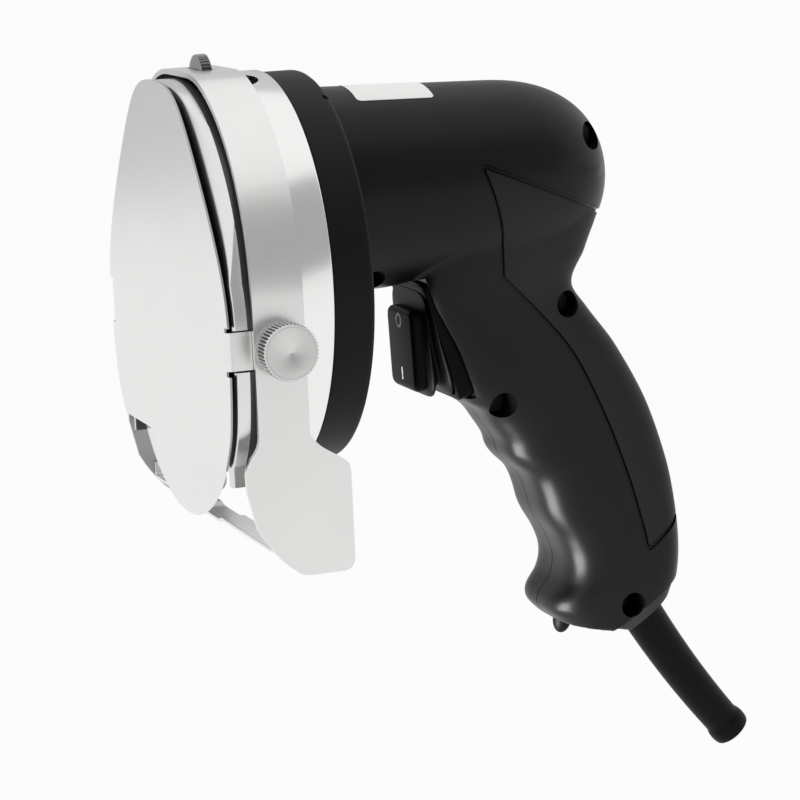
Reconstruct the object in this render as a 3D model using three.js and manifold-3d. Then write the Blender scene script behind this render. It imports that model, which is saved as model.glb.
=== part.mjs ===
// Electric kebab slicer: a pistol-grip power tool that spins a round knife behind a flat guard plate.
// Millimetres, +Z up. The knife faces -X, the motor barrel runs along +X and the grip hangs below it.
// The origin is on the outer face of the front plate, on the axis of the head.

import * as THREE from "three";
import { mergeVertices } from "three/addons/utils/BufferGeometryUtils.js";
import Module from "manifold-3d";

const wasm = await Module();
wasm.setup();

// Clearances
const fitGap = 0.3;
const pressGap = 0.15;
const shankGap = 0.3;

// Cutting tools: how far they run past the face they open, and past the whole object
const over = 1;
const reach = 400;

// Facets on round work: wide castings, mid-size turned pieces and small rods
const wideSides = 48;
const midSides = 20;
const rodSides = 16;
const pinSides = 10;
const eggSteps = 18;
const bandSteps = 14;
const cornerSteps = 3;
const cornerEase = 1 - Math.SQRT1_2;
const skinFacets = { barrel: 24, nose: 6, grip: 18, levels: 24 };
const coreFacets = { barrel: 14, nose: 4, grip: 12, levels: 13 };

// Front plate
const plateSheet = 1.0;
const plateTopDrop = 0.8;
const plateProud = 3.7;

// Plate outline, as distances in from its widest edge and down from its top, or up from its foot
const plateCrown = { in: 40.5, down: 4.4 };
const plateShoulder = { in: 19, down: 26.7 };
const plateCheek = { in: 3, down: 52.2 };
const plateWidest = { in: 0, down: 71.2 };
const plateJaw = { in: 2.5, up: 12 };
const plateFoot = { in: 9.5, down: 105.2 };
const tabHeight = 11.3;
const tabRelief = 1.4;
const tabPastKnob = 5.5;

// Knife, its axis and what clamps it
const bladeClear = 1.6;
const bladeAxisZ = -15;
const bladeThickness = 1.5;
const bladeRimX = 2.6;
const bladeDish = 3.6;
const bladeHubRadius = 22;
const bladeBevel = 7;
const clampWasherRadius = 11;
const clampWasherThickness = 1.3;
const bladeScrewHeadRadius = 5.5;
const bladeScrewHead = 2.2;
const bladeScrewChamfer = 1;
const bladeScrewRadius = 2.9;
const bladeScrewLength = 12;

// Head: polished drum with its blade pan, and the black flange behind it
const drumRadius = 58;
const drumWall = 3;
const drumRearX = 32.2;
const drumFrontWall = 3.5;
const panFrontX = 3;
const panBackX = 9;
const panWall = 2;
const panProud = 0.3;
const panFootDrop = 1;
const flangeStep = 0.8;
const flangeDepth = 12.2;
const flangeEdge = 2;
const flangeWeb = 8.7;
const flangeSpigot = 2;

// Guard: band round the drum, two paddles and the strip that ties them
const guardSheet = 1.5;
const bandFrontX = 7.2;
const bandWidth = 14.8;
const bandFlatHalf = 13.5;
const guardTravel = 3;
const neckFootZ = -40.5;
const paddleFrontX = 2.8;
const paddleRearX = 33.4;
const paddleShoulderZ = -48;
const paddleFootZ = -78;
const paddleCorner = 4.5;
const paddleFlare = 5;
const paddleEase = 2;
const stripZ = -72;
const stripX = 10;
const stripWidth = 7;
const stripSheet = 1.0;
const stripLip = 6;

// Swept lower edge of a paddle, as places behind its front and above its foot
const paddleSweep = [[2.7, 14.6], [5.3, 10.3], [9.5, 4.9], [14.2, 0.9], [17, 0]];

// Side knobs and thickness wheel
const knobX = 15;
const knobZ = -13.6;
const knobRadius = 8.1;
const knobHeight = 6.6;
const knobKnurls = 32;
const knobCollarRadius = 7.3;
const knobCollarHeight = 1.5;
const knobShankRadius = 2;
const knobGrip = 9;
const knobBossRadius = 5.5;
const knurlDepth = 0.35;
const wheelX = 14.6;
const wheelSink = 5;
const wheelRadius = 7.4;
const wheelThickness = 3.6;
const wheelKnurls = 24;
const studRadius = 1.25;
const studSeat = 4;
const wheelPocketRearX = 26;

// Drive train
const gearModule = 1.25;
const gearTeeth = 46;
const pinionTeeth = 12;
const gearWidth = 8;
const gearFrontX = 21;
const toothFill = 0.4;
const toothFlare = 0.17;
const toothAbove = 0.9;
const toothBelow = 1.25;
const spindleRadius = 6;
const spindleCollarRadius = 9;
const spindleTailRadius = 5;
const frontBearingRadius = 14;
const rearBearingRadius = 13;
const bearingWidth = 8;
const bearingSeatWall = 3.2;
const motorShaftRadius = 3;

// Motor
const canRadius = 21;
const canWall = 1.5;
const canFrontX = 52;
const canLength = 62;
const canNoseRadius = 11.7;
const canNoseX = 40;
const magnetThickness = 3.4;
const magnetAngle = 2.3;
const magnetLength = 34;
const magnetFrontX = 61;
const magnetSteps = 10;
const airGap = 0.8;
const armatureSlots = 10;
const armatureSlotDepth = 4.5;
const armatureSlotHalf = 1.6;
const commutatorRadius = 8.5;
const commutatorLength = 9;
const commutatorAway = 2;
const brushSize = 5;
const brushLength = 7;
const brushPlateThickness = 3;
const brushSleeve = 1.4;
const brushClear = 1.5;
const fanRadius = 14;
const fanHubRadius = 6;
const fanBlades = 6;
const fanWidth = 5;
const fanSheet = 1.2;
const fanAway = 1.5;
const motorBearingRadius = 9.5;
const motorBearingWidth = 6;
const motorBearingSeat = 1.6;
const shaftClear = 1;

// Handle housing
const wall = 3;
const seamGap = 0.3;
const barrelRadius = 30.7;
const barrelTaper = 0.032;
const noseStartX = 102;
const barrelRearX = 137.4;
const nosePower = 2.4;
const noseShare = 0.98;
const gripPower = 3.2;
const ribThickness = 3;
const ribFrontX = 62;
const ribRearX = 98;
const baseFrontX = 107;
const baseFrontZ = -114.3;
const baseTilt = THREE.MathUtils.degToRad(11.9);
const inlayDepth = 1.2;
const inlayGroove = 0.5;
const bossRadius = 5.8;
const counterboreRadius = 4;
const screwSeatY = 6;
const screwRadius = 1.5;
const screwHeadRadius = 3.2;
const screwHeadHeight = 2.4;
const screwHeadCrown = 0.6;
const screwBite = 10;
const flangeScrewLength = 20;
const postWall = 1.2;
const pilotFloor = 2;

// Grip outline in the X-Z plane, from the barrel down: front edge, rear edge and half width
const gripFront = [
  [68, 24], [72, -6], [86.5, -44], [94, -48], [100.2, -60],
  [107, -69], [110.8, -80.5], [118.4, -96.5], [114.6, -107.5], [114, -122],
];
const gripRear = [
  [135, 24], [133.8, 11], [129, -0.6], [124.4, -11], [129.3, -19],
  [138.8, -32], [148.9, -52], [155.6, -78], [156, -104], [149, -122],
];
const gripHalfWidth = [[27, 24], [22.5, 2], [18.5, -16], [18, -45], [19.2, -78], [19.6, -105], [18, -122]];
const gripTopZ = 24;
const gripFootZ = -126;

// Inlay panel in the X-Z plane: tip, neck, corner, front edge and foot, with a point behind tip and foot
const inlayTip = { x: 95.5, z: 24.4 };
const inlayTopRear = { x: 129.1, z: 10.1 };
const inlayNeck = [[100.5, 6], [98.9, 16.5]];
const inlayCorner = { x: 99.6, z: -6.7 };
const inlayFront = [[138.4, -74.4], [125.5, -40.5], [109.5, -17.5]];
const inlayFoot = { x: 144.1, z: -95.5 };
const inlayFootRear = { x: 151, z: -90.7 };

// Screws through both halves, as points in the X-Z plane
const housingScrewPlaces = [[58.2, -5], [129, 32.8], [119.7, -16.9], [97.8, -45.5], [137, -111.4]];

// Strain relief boot and bumper under the base
const bootStart = { x: 149, z: -121 };
const bootControl = { x: 161.9, z: -142.4 };
const bootEnd = { x: 178, z: -161.5 };
const bootRootRadius = 6.5;
const bootTipRadius = 5.7;
const bootBeadRadius = 6.4;
const cordRadius = 3.6;
const cordSocket = 3;
const bootFlangeRadius = 7.6;
const bootFlange = 2.2;
const bootSeat = 4;
const bootSides = 14;
const bootSteps = 5;
const bootBeadStart = 0.88;
const bootBead = [[0.9, 0.75], [0.93, 1], [0.97, 1], [1, 0.6]];
const collarRadius = 9.6;
const collarLength = 22;
const bumperRadius = 2.9;
const bumperDrop = 4.6;
const bumperStem = 1.7;
const bumperFromFront = 14.5;

// Rocker switch with its rubber bellows
const switchTop = { x: 76.9, z: -5 };
const switchFoot = { x: 90.2, z: -43.5 };
const bezelThickness = 2;
const bezelHalfWidth = 13.5;
const bezelLip = 1.5;
const switchHalfLength = 15;
const switchHalfWidth = 11.5;
const switchDepth = 20;
const switchWall = 3;
const switchSlot = 8;
const rockerHalfWidth = 12;
const rockerFaceX = 72.4;
const rockerThickness = 3.8;
const rockerTopZ = -16.5;
const rockerFootZ = -40;
const rockerCorner = 3;
const rockerPivot = { x: 81, z: -28 };
const stemHalfWidth = 3.6;
const stemHalfHeight = 4.5;
const cheekThickness = 1.6;
const cheekWall = 1.4;
const pinRadius = 1.5;
const bellowsRibs = 2;
const bellowsRibDepth = 1.0;
const bellowsWall = 1.0;
const bellowsFoot = 1.2;
const bellowsInset = 0.6;
const bellowsPower = 4;

// Rectifier board inside the grip
const boardFrontX = 117;
const boardTopZ = -50;
const boardLength = 26;
const boardWidth = 24;
const boardThickness = 1.6;
const railInset = 3;
const railHalf = 1;
const capacitorRadius = 5;
const capacitorLength = 14;

// Values worked out from the sizes above
const motorAxisZ = bladeAxisZ + (gearModule * (gearTeeth + pinionTeeth)) / 2;
const panHalf = drumRadius + panProud;
const plateHalf = panHalf + plateProud;
const plateTop = drumRadius - plateTopDrop;
const panFootZ = plateTop - plateFoot.down - panFootDrop;
const bladeRadius = panHalf - panWall - bladeClear;
const flangeRadius = drumRadius - flangeStep;
const tabInner = panHalf + fitGap;
const tabOuter = tabInner + plateSheet;
const guardInner = tabOuter + fitGap;
const guardOuter = guardInner + guardSheet;
const wheelZ = guardOuter - wheelSink;
const bandRearX = bandFrontX + bandWidth;
const flangeFrontX = drumRearX + fitGap;
const flangeRearX = flangeFrontX + flangeDepth;
const barrelFrontX = flangeRearX + fitGap;
const drumFrontX = panBackX;
const canRearX = canFrontX + canLength;
const magnetOuter = canRadius - canWall - fitGap;
const armatureRadius = magnetOuter - magnetThickness - airGap;
const bladeHubX = bladeRimX + bladeDish;
const bladeHubRearX = bladeHubX + bladeThickness;
const collarSeatX = bladeHubRearX + fitGap;
const postRadius = screwHeadRadius + postWall;
const rockerRearX = rockerFaceX + rockerThickness;
const studEndX = wheelPocketRearX + studSeat;

// Solids from geometry, with loose or folded triangles dropped and the faces turned outwards
function solidOf(geometry) {
  const bare = geometry.index ? geometry.toNonIndexed() : geometry.clone();
  bare.deleteAttribute("normal");
  bare.deleteAttribute("uv");
  const merged = mergeVertices(bare, 1e-4);
  const points = Float32Array.from(merged.attributes.position.array);
  const corners = merged.index.array;
  const kept = [];
  let volume = 0;
  const a = new THREE.Vector3();
  const b = new THREE.Vector3();
  const c = new THREE.Vector3();
  for (let i = 0; i < corners.length; i += 3) {
    const [p, q, r] = [corners[i], corners[i + 1], corners[i + 2]];
    if (p === q || q === r || r === p) continue;
    kept.push(p, q, r);
    a.fromArray(points, 3 * p);
    b.fromArray(points, 3 * q);
    c.fromArray(points, 3 * r);
    volume += a.dot(b.cross(c));
  }
  const triVerts = Uint32Array.from(volume < 0 ? kept.reverse() : kept);
  return new wasm.Manifold(new wasm.Mesh({ numProp: 3, vertProperties: points, triVerts }));
}

function geometryOf(solid) {
  const mesh = solid.getMesh();
  const points = new Float32Array(mesh.numVert * 3);
  for (let i = 0; i < mesh.numVert; i++) {
    const start = i * mesh.numProp;
    points.set(mesh.vertProperties.subarray(start, start + 3), i * 3);
  }
  const geometry = new THREE.BufferGeometry();
  geometry.setAttribute("position", new THREE.BufferAttribute(points, 3));
  geometry.setIndex(new THREE.BufferAttribute(Uint32Array.from(mesh.triVerts), 1));
  geometry.computeVertexNormals();
  return geometry;
}

function join(first, ...others) {
  return others.reduce((sum, other) => sum.add(other), first);
}

function cut(first, ...tools) {
  return tools.reduce((rest, tool) => rest.subtract(tool), first);
}

// Basic shapes
function block(x0, x1, y0, y1, z0, z1) {
  const box = new THREE.BoxGeometry(x1 - x0, y1 - y0, z1 - z0);
  return solidOf(box.translate((x0 + x1) / 2, (y0 + y1) / 2, (z0 + z1) / 2));
}

function rodX(radius, x0, x1, y, z, sides = rodSides) {
  const rod = new THREE.CylinderGeometry(radius, radius, x1 - x0, sides).rotateZ(-Math.PI / 2);
  return solidOf(rod.translate((x0 + x1) / 2, y, z));
}

function rodY(radius, y0, y1, x, z, sides = rodSides) {
  const rod = new THREE.CylinderGeometry(radius, radius, y1 - y0, sides);
  return solidOf(rod.translate(x, (y0 + y1) / 2, z));
}

// A profile of [x, radius] points turned round an axis along X
function turnedX(profile, y, z, sides = midSides) {
  const points = profile.map(([along, radius]) => new THREE.Vector2(radius, along));
  const lathe = new THREE.LatheGeometry(points, sides).rotateZ(-Math.PI / 2);
  return solidOf(lathe.translate(0, y, z));
}

function ringX(inner, outer, x0, x1, y, z, sides = midSides) {
  const profile = [[x0, inner], [x1, inner], [x1, outer], [x0, outer], [x0, inner]];
  return turnedX(profile, y, z, sides);
}

const acrossHead = new THREE.Matrix4().makeBasis(
  new THREE.Vector3(0, 1, 0),
  new THREE.Vector3(0, 0, 1),
  new THREE.Vector3(1, 0, 0),
);
const acrossSide = new THREE.Matrix4().makeBasis(
  new THREE.Vector3(1, 0, 0),
  new THREE.Vector3(0, 0, 1),
  new THREE.Vector3(0, -1, 0),
);

// An outline of [y, z] points given depth along X
function prismX(outline, x0, x1) {
  const shape = new THREE.Shape(outline.map(([y, z]) => new THREE.Vector2(y, z)));
  const prism = new THREE.ExtrudeGeometry(shape, { depth: x1 - x0, bevelEnabled: false });
  return solidOf(prism.applyMatrix4(acrossHead).translate(x0, 0, 0));
}

// An outline of [x, z] points given depth along Y
function prismY(outline, y0, y1) {
  const shape = new THREE.Shape(outline.map(([x, z]) => new THREE.Vector2(x, z)));
  const prism = new THREE.ExtrudeGeometry(shape, { depth: y1 - y0, bevelEnabled: false });
  return solidOf(prism.applyMatrix4(acrossSide).translate(0, y1, 0));
}

// Rings of equally many points skinned in order, with a flat fan at each end
function loft(rings) {
  const count = rings[0].length;
  const points = rings.flat();
  const corners = [];
  for (let k = 0; k + 1 < rings.length; k++) {
    for (let i = 0; i < count; i++) {
      const j = (i + 1) % count;
      const [a, b, c, d] = [k * count + i, k * count + j, (k + 1) * count + j, (k + 1) * count + i];
      corners.push(a, b, c, a, c, d);
    }
  }
  for (const end of [0, rings.length - 1]) {
    const middle = new THREE.Vector3();
    rings[end].forEach((p) => middle.addScaledVector(p, 1 / count));
    points.push(middle);
    for (let i = 0; i < count; i++) {
      const [a, b] = [end * count + i, end * count + ((i + 1) % count)];
      corners.push(points.length - 1, ...(end ? [a, b] : [b, a]));
    }
  }
  const geometry = new THREE.BufferGeometry().setFromPoints(points);
  geometry.setIndex(corners);
  return solidOf(geometry);
}

// Points of a smooth curve through hand-picked places
function smooth(places, count) {
  const curve = new THREE.SplineCurve(places.map(([u, v]) => new THREE.Vector2(u, v)));
  return curve.getPoints(count).map((p) => [p.x, p.y]);
}

// A closed outline moved outwards by an amount, or inwards if it is negative
function grown(outline, amount) {
  const area = THREE.ShapeUtils.area(outline.map(([u, v]) => new THREE.Vector2(u, v)));
  const side = Math.sign(area) * amount;
  return outline.map(([u, v], i) => {
    const before = outline[(i + outline.length - 1) % outline.length];
    const after = outline[(i + 1) % outline.length];
    const inward = new THREE.Vector2(u - before[0], v - before[1]).normalize();
    const onward = new THREE.Vector2(after[0] - u, after[1] - v).normalize();
    const bisector = new THREE.Vector2(inward.y + onward.y, -inward.x - onward.x).normalize();
    const spread = Math.max(0.5, bisector.x * inward.y - bisector.y * inward.x);
    return [u + (bisector.x * side) / spread, v + (bisector.y * side) / spread];
  });
}

function mirrorY(solid) {
  return solid.mirror([0, 1, 0]);
}

// Front plate and pan share one egg-shaped outline
function eggOutline(footDrop = 0) {
  const jaw = { in: plateJaw.in, down: plateFoot.down - plateJaw.up };
  const places = [plateCrown, plateShoulder, plateCheek, plateWidest, jaw, plateFoot].map(
    (place) => [plateHalf - place.in, plateTop - place.down],
  );
  const half = smooth([[0, plateTop], ...places], eggSteps);
  const [footY, footZ] = places[places.length - 1];
  if (footDrop) half.push([footY, footZ - footDrop]);
  const other = half.slice(1).reverse().map(([y, z]) => [-y, z]);
  return [...half, ...other];
}

function makeFrontPlate() {
  const tabTop = knobZ + tabHeight / 2;
  const tabFoot = knobZ - tabHeight / 2;
  const tabRearX = knobX + tabPastKnob;
  let plate = prismX(eggOutline(), 0, plateSheet);
  for (const side of [-1, 1]) {
    const [edge, past] = [side * tabOuter, side * reach];
    const relief = block(
      -over, plateSheet + over,
      Math.min(edge, past), Math.max(edge, past),
      tabFoot - tabRelief, tabTop + tabRelief,
    );
    const [near, far] = [side * tabInner, side * tabOuter];
    const tab = block(0, tabRearX, Math.min(near, far), Math.max(near, far), tabFoot, tabTop);
    const hole = rodY(knobShankRadius + shankGap, -reach, reach, knobX, knobZ);
    plate = join(cut(plate, relief), cut(tab, hole));
  }
  return plate;
}

function makeBlade() {
  const edgeX = bladeRimX + bladeThickness / 2;
  const bevelStart = bladeRadius - bladeBevel;
  const hole = bladeScrewRadius + shankGap;
  return turnedX(
    [
      [bladeHubX, hole],
      [bladeHubX, bladeHubRadius],
      [bladeRimX, bevelStart],
      [edgeX, bladeRadius],
      [bladeRimX + bladeThickness, bevelStart],
      [bladeHubRearX, bladeHubRadius],
      [bladeHubRearX, hole],
      [bladeHubX, hole],
    ],
    0, bladeAxisZ, wideSides,
  );
}

function makeBladeScrew() {
  const seatX = bladeHubX - fitGap - clampWasherThickness - fitGap;
  const tipX = seatX + bladeScrewLength;
  return turnedX(
    [
      [seatX - bladeScrewHead, 0],
      [seatX - bladeScrewHead, bladeScrewHeadRadius - bladeScrewChamfer],
      [seatX - bladeScrewHead + bladeScrewChamfer, bladeScrewHeadRadius],
      [seatX, bladeScrewHeadRadius],
      [seatX, bladeScrewRadius],
      [tipX, bladeScrewRadius],
      [tipX, 0],
    ],
    0, bladeAxisZ, rodSides,
  );
}

function makeClampWasher() {
  const rearX = bladeHubX - fitGap;
  const bore = bladeScrewRadius + shankGap;
  return ringX(bore, clampWasherRadius, rearX - clampWasherThickness, rearX, 0, bladeAxisZ);
}

const frontBearingX = drumFrontX + drumFrontWall;
const rearBearingX = flangeFrontX + flangeDepth - flangeWeb;
const spindleEndX = rearBearingX + bearingWidth;

function makeSpindle() {
  const screwDepth = bladeHubX + bladeScrewLength;
  const bore = bladeScrewRadius + shankGap;
  return turnedX(
    [
      [collarSeatX, bore],
      [collarSeatX, spindleCollarRadius],
      [frontBearingX - fitGap, spindleCollarRadius],
      [frontBearingX - fitGap, spindleRadius],
      [gearFrontX + gearWidth, spindleRadius],
      [gearFrontX + gearWidth, spindleTailRadius],
      [spindleEndX, spindleTailRadius],
      [spindleEndX, 0],
      [screwDepth, 0],
      [screwDepth, bore],
      [collarSeatX, bore],
    ],
    0, bladeAxisZ, midSides,
  );
}

function makeFrontBearing() {
  return ringX(
    spindleRadius + pressGap, frontBearingRadius,
    frontBearingX, frontBearingX + bearingWidth, 0, bladeAxisZ,
  );
}

function makeRearBearing() {
  return ringX(
    spindleTailRadius + pressGap, rearBearingRadius,
    rearBearingX, rearBearingX + bearingWidth, 0, bladeAxisZ,
  );
}

// Straight-flanked teeth, thinner than half the pitch so that the pair turns freely
function gearOutline(teeth, turn) {
  const pitchRadius = (gearModule * teeth) / 2;
  const tip = pitchRadius + toothAbove * gearModule;
  const root = pitchRadius - toothBelow * gearModule;
  const pitch = (2 * Math.PI) / teeth;
  const foot = (pitch * (toothFill + toothFlare)) / 2;
  const crest = (pitch * (toothFill - toothFlare)) / 2;
  const outline = [];
  for (let i = 0; i < teeth; i++) {
    const middle = turn + i * pitch;
    for (const [radius, offset] of [[root, -foot], [tip, -crest], [tip, crest], [root, foot]]) {
      outline.push([radius * Math.sin(middle + offset), radius * Math.cos(middle + offset)]);
    }
  }
  return outline;
}

function makeGear(teeth, turn, bore, axisZ) {
  const wheel = prismX(gearOutline(teeth, turn), gearFrontX, gearFrontX + gearWidth);
  const hole = rodX(bore, gearFrontX - over, gearFrontX + gearWidth + over, 0, 0);
  return cut(wheel, hole).translate([0, 0, axisZ]);
}

// The pinion sits above the gear, so one of its gaps faces the gear's top tooth
function makePinion() {
  const halfPitch = Math.PI / pinionTeeth;
  const turn = pinionTeeth % 2 ? 0 : halfPitch;
  return makeGear(pinionTeeth, turn, motorShaftRadius + pressGap, motorAxisZ);
}

const flangeScrewRing = canRadius;
const flangeScrewAngles = [30, 90, 150].map(THREE.MathUtils.degToRad);
const flangeScrewPlaces = flangeScrewAngles.map((angle) => [
  flangeScrewRing * Math.cos(angle),
  motorAxisZ + flangeScrewRing * Math.sin(angle),
]);

function makeDrum() {
  const shellInner = drumRadius - drumWall;
  const cavityX = drumFrontX + drumFrontWall;
  const openFoot = eggOutline(plateHalf);
  const panOuter = grown(openFoot, panHalf - plateHalf);
  const panInner = grown(openFoot, panHalf - plateHalf - panWall);
  const belowPan = block(-over, drumFrontX + panWall, -reach, reach, -reach, panFootZ);
  const skirt = cut(prismX(panOuter, panFrontX, drumFrontX + panWall), prismX(panInner, 0, drumFrontX));
  let drum = turnedX(
    [
      [drumFrontX, 0],
      [drumFrontX, drumRadius],
      [drumRearX, drumRadius],
      [drumRearX, shellInner],
      [cavityX, shellInner],
      [cavityX, 0],
    ],
    0, 0, wideSides,
  );
  drum = join(cut(skirt, belowPan), drum);

  const bearingRearX = frontBearingX + bearingWidth;
  const bossRadius = frontBearingRadius + bearingSeatWall;
  const seatRadius = frontBearingRadius + pressGap;
  const bearingBoss = rodX(bossRadius, cavityX - over, bearingRearX, 0, bladeAxisZ, midSides);
  const bearingSeat = rodX(seatRadius, frontBearingX - fitGap, reach, 0, bladeAxisZ, midSides);
  const spindleHole = rodX(spindleCollarRadius + 2 * fitGap, 0, cavityX, 0, bladeAxisZ, midSides);
  drum = cut(join(drum, bearingBoss), bearingSeat, spindleHole);

  for (const [y, z] of flangeScrewPlaces) {
    drum = join(drum, rodX(postRadius, cavityX - over, drumRearX, y, z));
  }

  const bossFoot = tabInner - knobGrip - knobCollarHeight;
  for (const side of [-1, 1]) {
    const [near, far] = [side * (tabInner - fitGap), side * bossFoot];
    const boss = rodY(knobBossRadius, Math.min(near, far), Math.max(near, far), knobX, knobZ);
    drum = join(drum, boss);
  }
  drum = cut(drum, rodY(knobShankRadius + shankGap, -reach, -bossFoot + over, knobX, knobZ));
  drum = cut(drum, rodY(knobShankRadius + shankGap, bossFoot - over, reach, knobX, knobZ));

  const pocketHalf = wheelRadius + 2 * fitGap;
  const pocketFrontX = wheelX - wheelThickness / 2 - guardTravel - 2 * fitGap;
  const pocketFloorZ = wheelZ - wheelRadius - 2 * fitGap;
  const pocketBlock = block(
    cavityX - over, studEndX,
    -pocketHalf - panWall, pocketHalf + panWall,
    pocketFloorZ - panWall, reach,
  );
  const pocket = block(pocketFrontX, wheelPocketRearX, -pocketHalf, pocketHalf, pocketFloorZ, reach);
  const withinDrum = rodX(drumRadius - over, 0, drumRearX, 0, 0, wideSides);
  const studHole = rodX(studRadius + pressGap, wheelPocketRearX - over, studEndX + fitGap, 0, wheelZ, pinSides);
  const pilots = flangeScrewPlaces.map(([y, z]) =>
    rodX(screwRadius + shankGap, cavityX + pilotFloor, reach, y, z, pinSides),
  );
  return cut(join(drum, pocketBlock.intersect(withinDrum)), pocket, studHole, ...pilots);
}

function makeFlange() {
  const spigotRadius = drumRadius - drumWall - fitGap;
  const webFrontX = flangeRearX - flangeWeb;
  let flange = turnedX(
    [
      [webFrontX, 0],
      [webFrontX, spigotRadius - drumWall],
      [flangeFrontX - flangeSpigot, spigotRadius - drumWall],
      [flangeFrontX - flangeSpigot, spigotRadius],
      [flangeFrontX, spigotRadius],
      [flangeFrontX, flangeRadius],
      [flangeRearX - flangeEdge, flangeRadius],
      [flangeRearX - cornerEase * flangeEdge, flangeRadius - cornerEase * flangeEdge],
      [flangeRearX, flangeRadius - flangeEdge],
      [flangeRearX, 0],
    ],
    0, 0, wideSides,
  );
  const barrelInner = (barrelRadius - wall) * Math.cos(Math.PI / coreFacets.barrel) - fitGap;
  const spigot = ringX(
    barrelInner - wall, barrelInner, flangeRearX - over, flangeRearX + flangeSpigot, 0, motorAxisZ, midSides,
  );
  const seat = rodX(rearBearingRadius + pressGap, 0, spindleEndX + fitGap, 0, bladeAxisZ, midSides);
  const noseHole = rodX(canNoseRadius + fitGap, 0, reach, 0, motorAxisZ, midSides);
  const boss = rodX(
    rearBearingRadius + bearingSeatWall, webFrontX - over, flangeRearX, 0, bladeAxisZ, midSides,
  );
  flange = cut(join(flange, spigot, boss), seat, noseHole);
  for (const [y, z] of flangeScrewPlaces) {
    flange = cut(flange, rodX(screwRadius + shankGap, 0, reach, y, z, pinSides));
    flange = cut(flange, rodX(screwHeadRadius + fitGap, flangeRearX, reach, y, z, pinSides));
    flange = cut(flange, rodX(postRadius + fitGap, 0, drumRearX + fitGap, y, z, pinSides));
  }
  return flange;
}

function makeFlangeScrew(place) {
  const seatX = flangeRearX + pressGap;
  const profile = [
    [seatX - flangeScrewLength, 0],
    [seatX - flangeScrewLength, screwRadius],
    [seatX, screwRadius],
    [seatX, screwHeadRadius],
    [seatX + screwHeadHeight, screwHeadRadius - screwHeadCrown],
    [seatX + screwHeadHeight, 0],
  ];
  return turnedX(profile, place[0], place[1], pinSides);
}

// Guard band: straight legs, round shoulders and a flat on top for the wheel
function bandOutline(radius) {
  const flatAngle = Math.asin(bandFlatHalf / guardOuter);
  const half = [[radius, neckFootZ]];
  for (let i = 0; i <= bandSteps; i++) {
    const angle = (Math.PI / 2 - flatAngle) * (i / bandSteps);
    half.push([radius * Math.cos(angle), radius * Math.sin(angle)]);
  }
  return [...half, ...half.reverse().map(([y, z]) => [-y, z])];
}

function paddleOutline() {
  const sweep = smooth(paddleSweep.map(([back, up]) => [paddleFrontX + back, paddleFootZ + up]), 9);
  const round = cornerEase * paddleCorner;
  return [
    [bandFrontX, knobZ],
    [bandFrontX, neckFootZ],
    [paddleFrontX, neckFootZ - paddleFlare],
    ...sweep,
    [paddleRearX - paddleCorner, paddleFootZ],
    [paddleRearX - round, paddleFootZ + round],
    [paddleRearX, paddleFootZ + paddleCorner],
    [paddleRearX, paddleShoulderZ - paddleEase / 2],
    [paddleRearX - paddleEase, paddleShoulderZ + paddleEase],
    [bandRearX + paddleEase, neckFootZ - paddleEase / 2],
    [bandRearX, neckFootZ + paddleEase / 2],
    [bandRearX, knobZ],
  ];
}

function makeGuard() {
  const inner = prismX(bandOutline(guardInner), 0, bandRearX + over);
  let guard = cut(prismX(bandOutline(guardOuter), bandFrontX, bandRearX), inner);
  const slotHalf = guardTravel + knobShankRadius + shankGap;
  for (const side of [-1, 1]) {
    const [near, far] = [side * guardInner, side * guardOuter];
    guard = join(guard, prismY(paddleOutline(), Math.min(near, far), Math.max(near, far)));
  }
  const slotHeight = knobShankRadius + shankGap;
  const slotEnds = slotHalf - slotHeight;
  const knobSlot = join(
    block(knobX - slotEnds, knobX + slotEnds, -reach, reach, knobZ - slotHeight, knobZ + slotHeight),
    rodY(slotHeight, -reach, reach, knobX - slotEnds, knobZ),
    rodY(slotHeight, -reach, reach, knobX + slotEnds, knobZ),
  );
  const wheelSlot = block(
    wheelX - wheelThickness / 2 - fitGap, wheelX + wheelThickness / 2 + fitGap,
    -wheelRadius, wheelRadius,
    0, reach,
  );
  return cut(guard, knobSlot, wheelSlot);
}

function makeStrip() {
  const span = guardInner - fitGap;
  const lipTop = stripZ + stripLip;
  const strip = block(stripX, stripX + stripWidth, -span, span, stripZ, stripZ + stripSheet);
  const lips = [-1, 1].map((side) => {
    const [near, far] = [side * (span - stripSheet), side * span];
    return block(stripX, stripX + stripWidth, Math.min(near, far), Math.max(near, far), stripZ, lipTop);
  });
  return join(strip, ...lips);
}

// Knurled rim: a fine zigzag outline
function knurlOutline(radius, count, depth) {
  const outline = [];
  for (let i = 0; i < 2 * count; i++) {
    const angle = (Math.PI * i) / count;
    const r = i % 2 ? radius - depth : radius;
    outline.push([r * Math.cos(angle), r * Math.sin(angle)]);
  }
  return outline;
}

function makeKnob(side) {
  const seatY = guardOuter + fitGap + knobCollarHeight + fitGap;
  const outline = knurlOutline(knobRadius, knobKnurls, knurlDepth);
  const placed = outline.map(([x, z]) => [x + knobX, z + knobZ]);
  const head = prismY(placed, -seatY - knobHeight, -seatY);
  const shank = rodY(knobShankRadius, -seatY - over, -tabInner + knobGrip, knobX, knobZ, pinSides);
  const knob = join(head, shank);
  return side < 0 ? knob : mirrorY(knob);
}

function makeKnobCollar(side) {
  const seatY = guardOuter + fitGap;
  const disc = rodY(knobCollarRadius, -seatY - knobCollarHeight, -seatY, knobX, knobZ, midSides);
  const collar = cut(disc, rodY(knobShankRadius + shankGap, -reach, 0, knobX, knobZ, pinSides));
  return side < 0 ? collar : mirrorY(collar);
}

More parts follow.
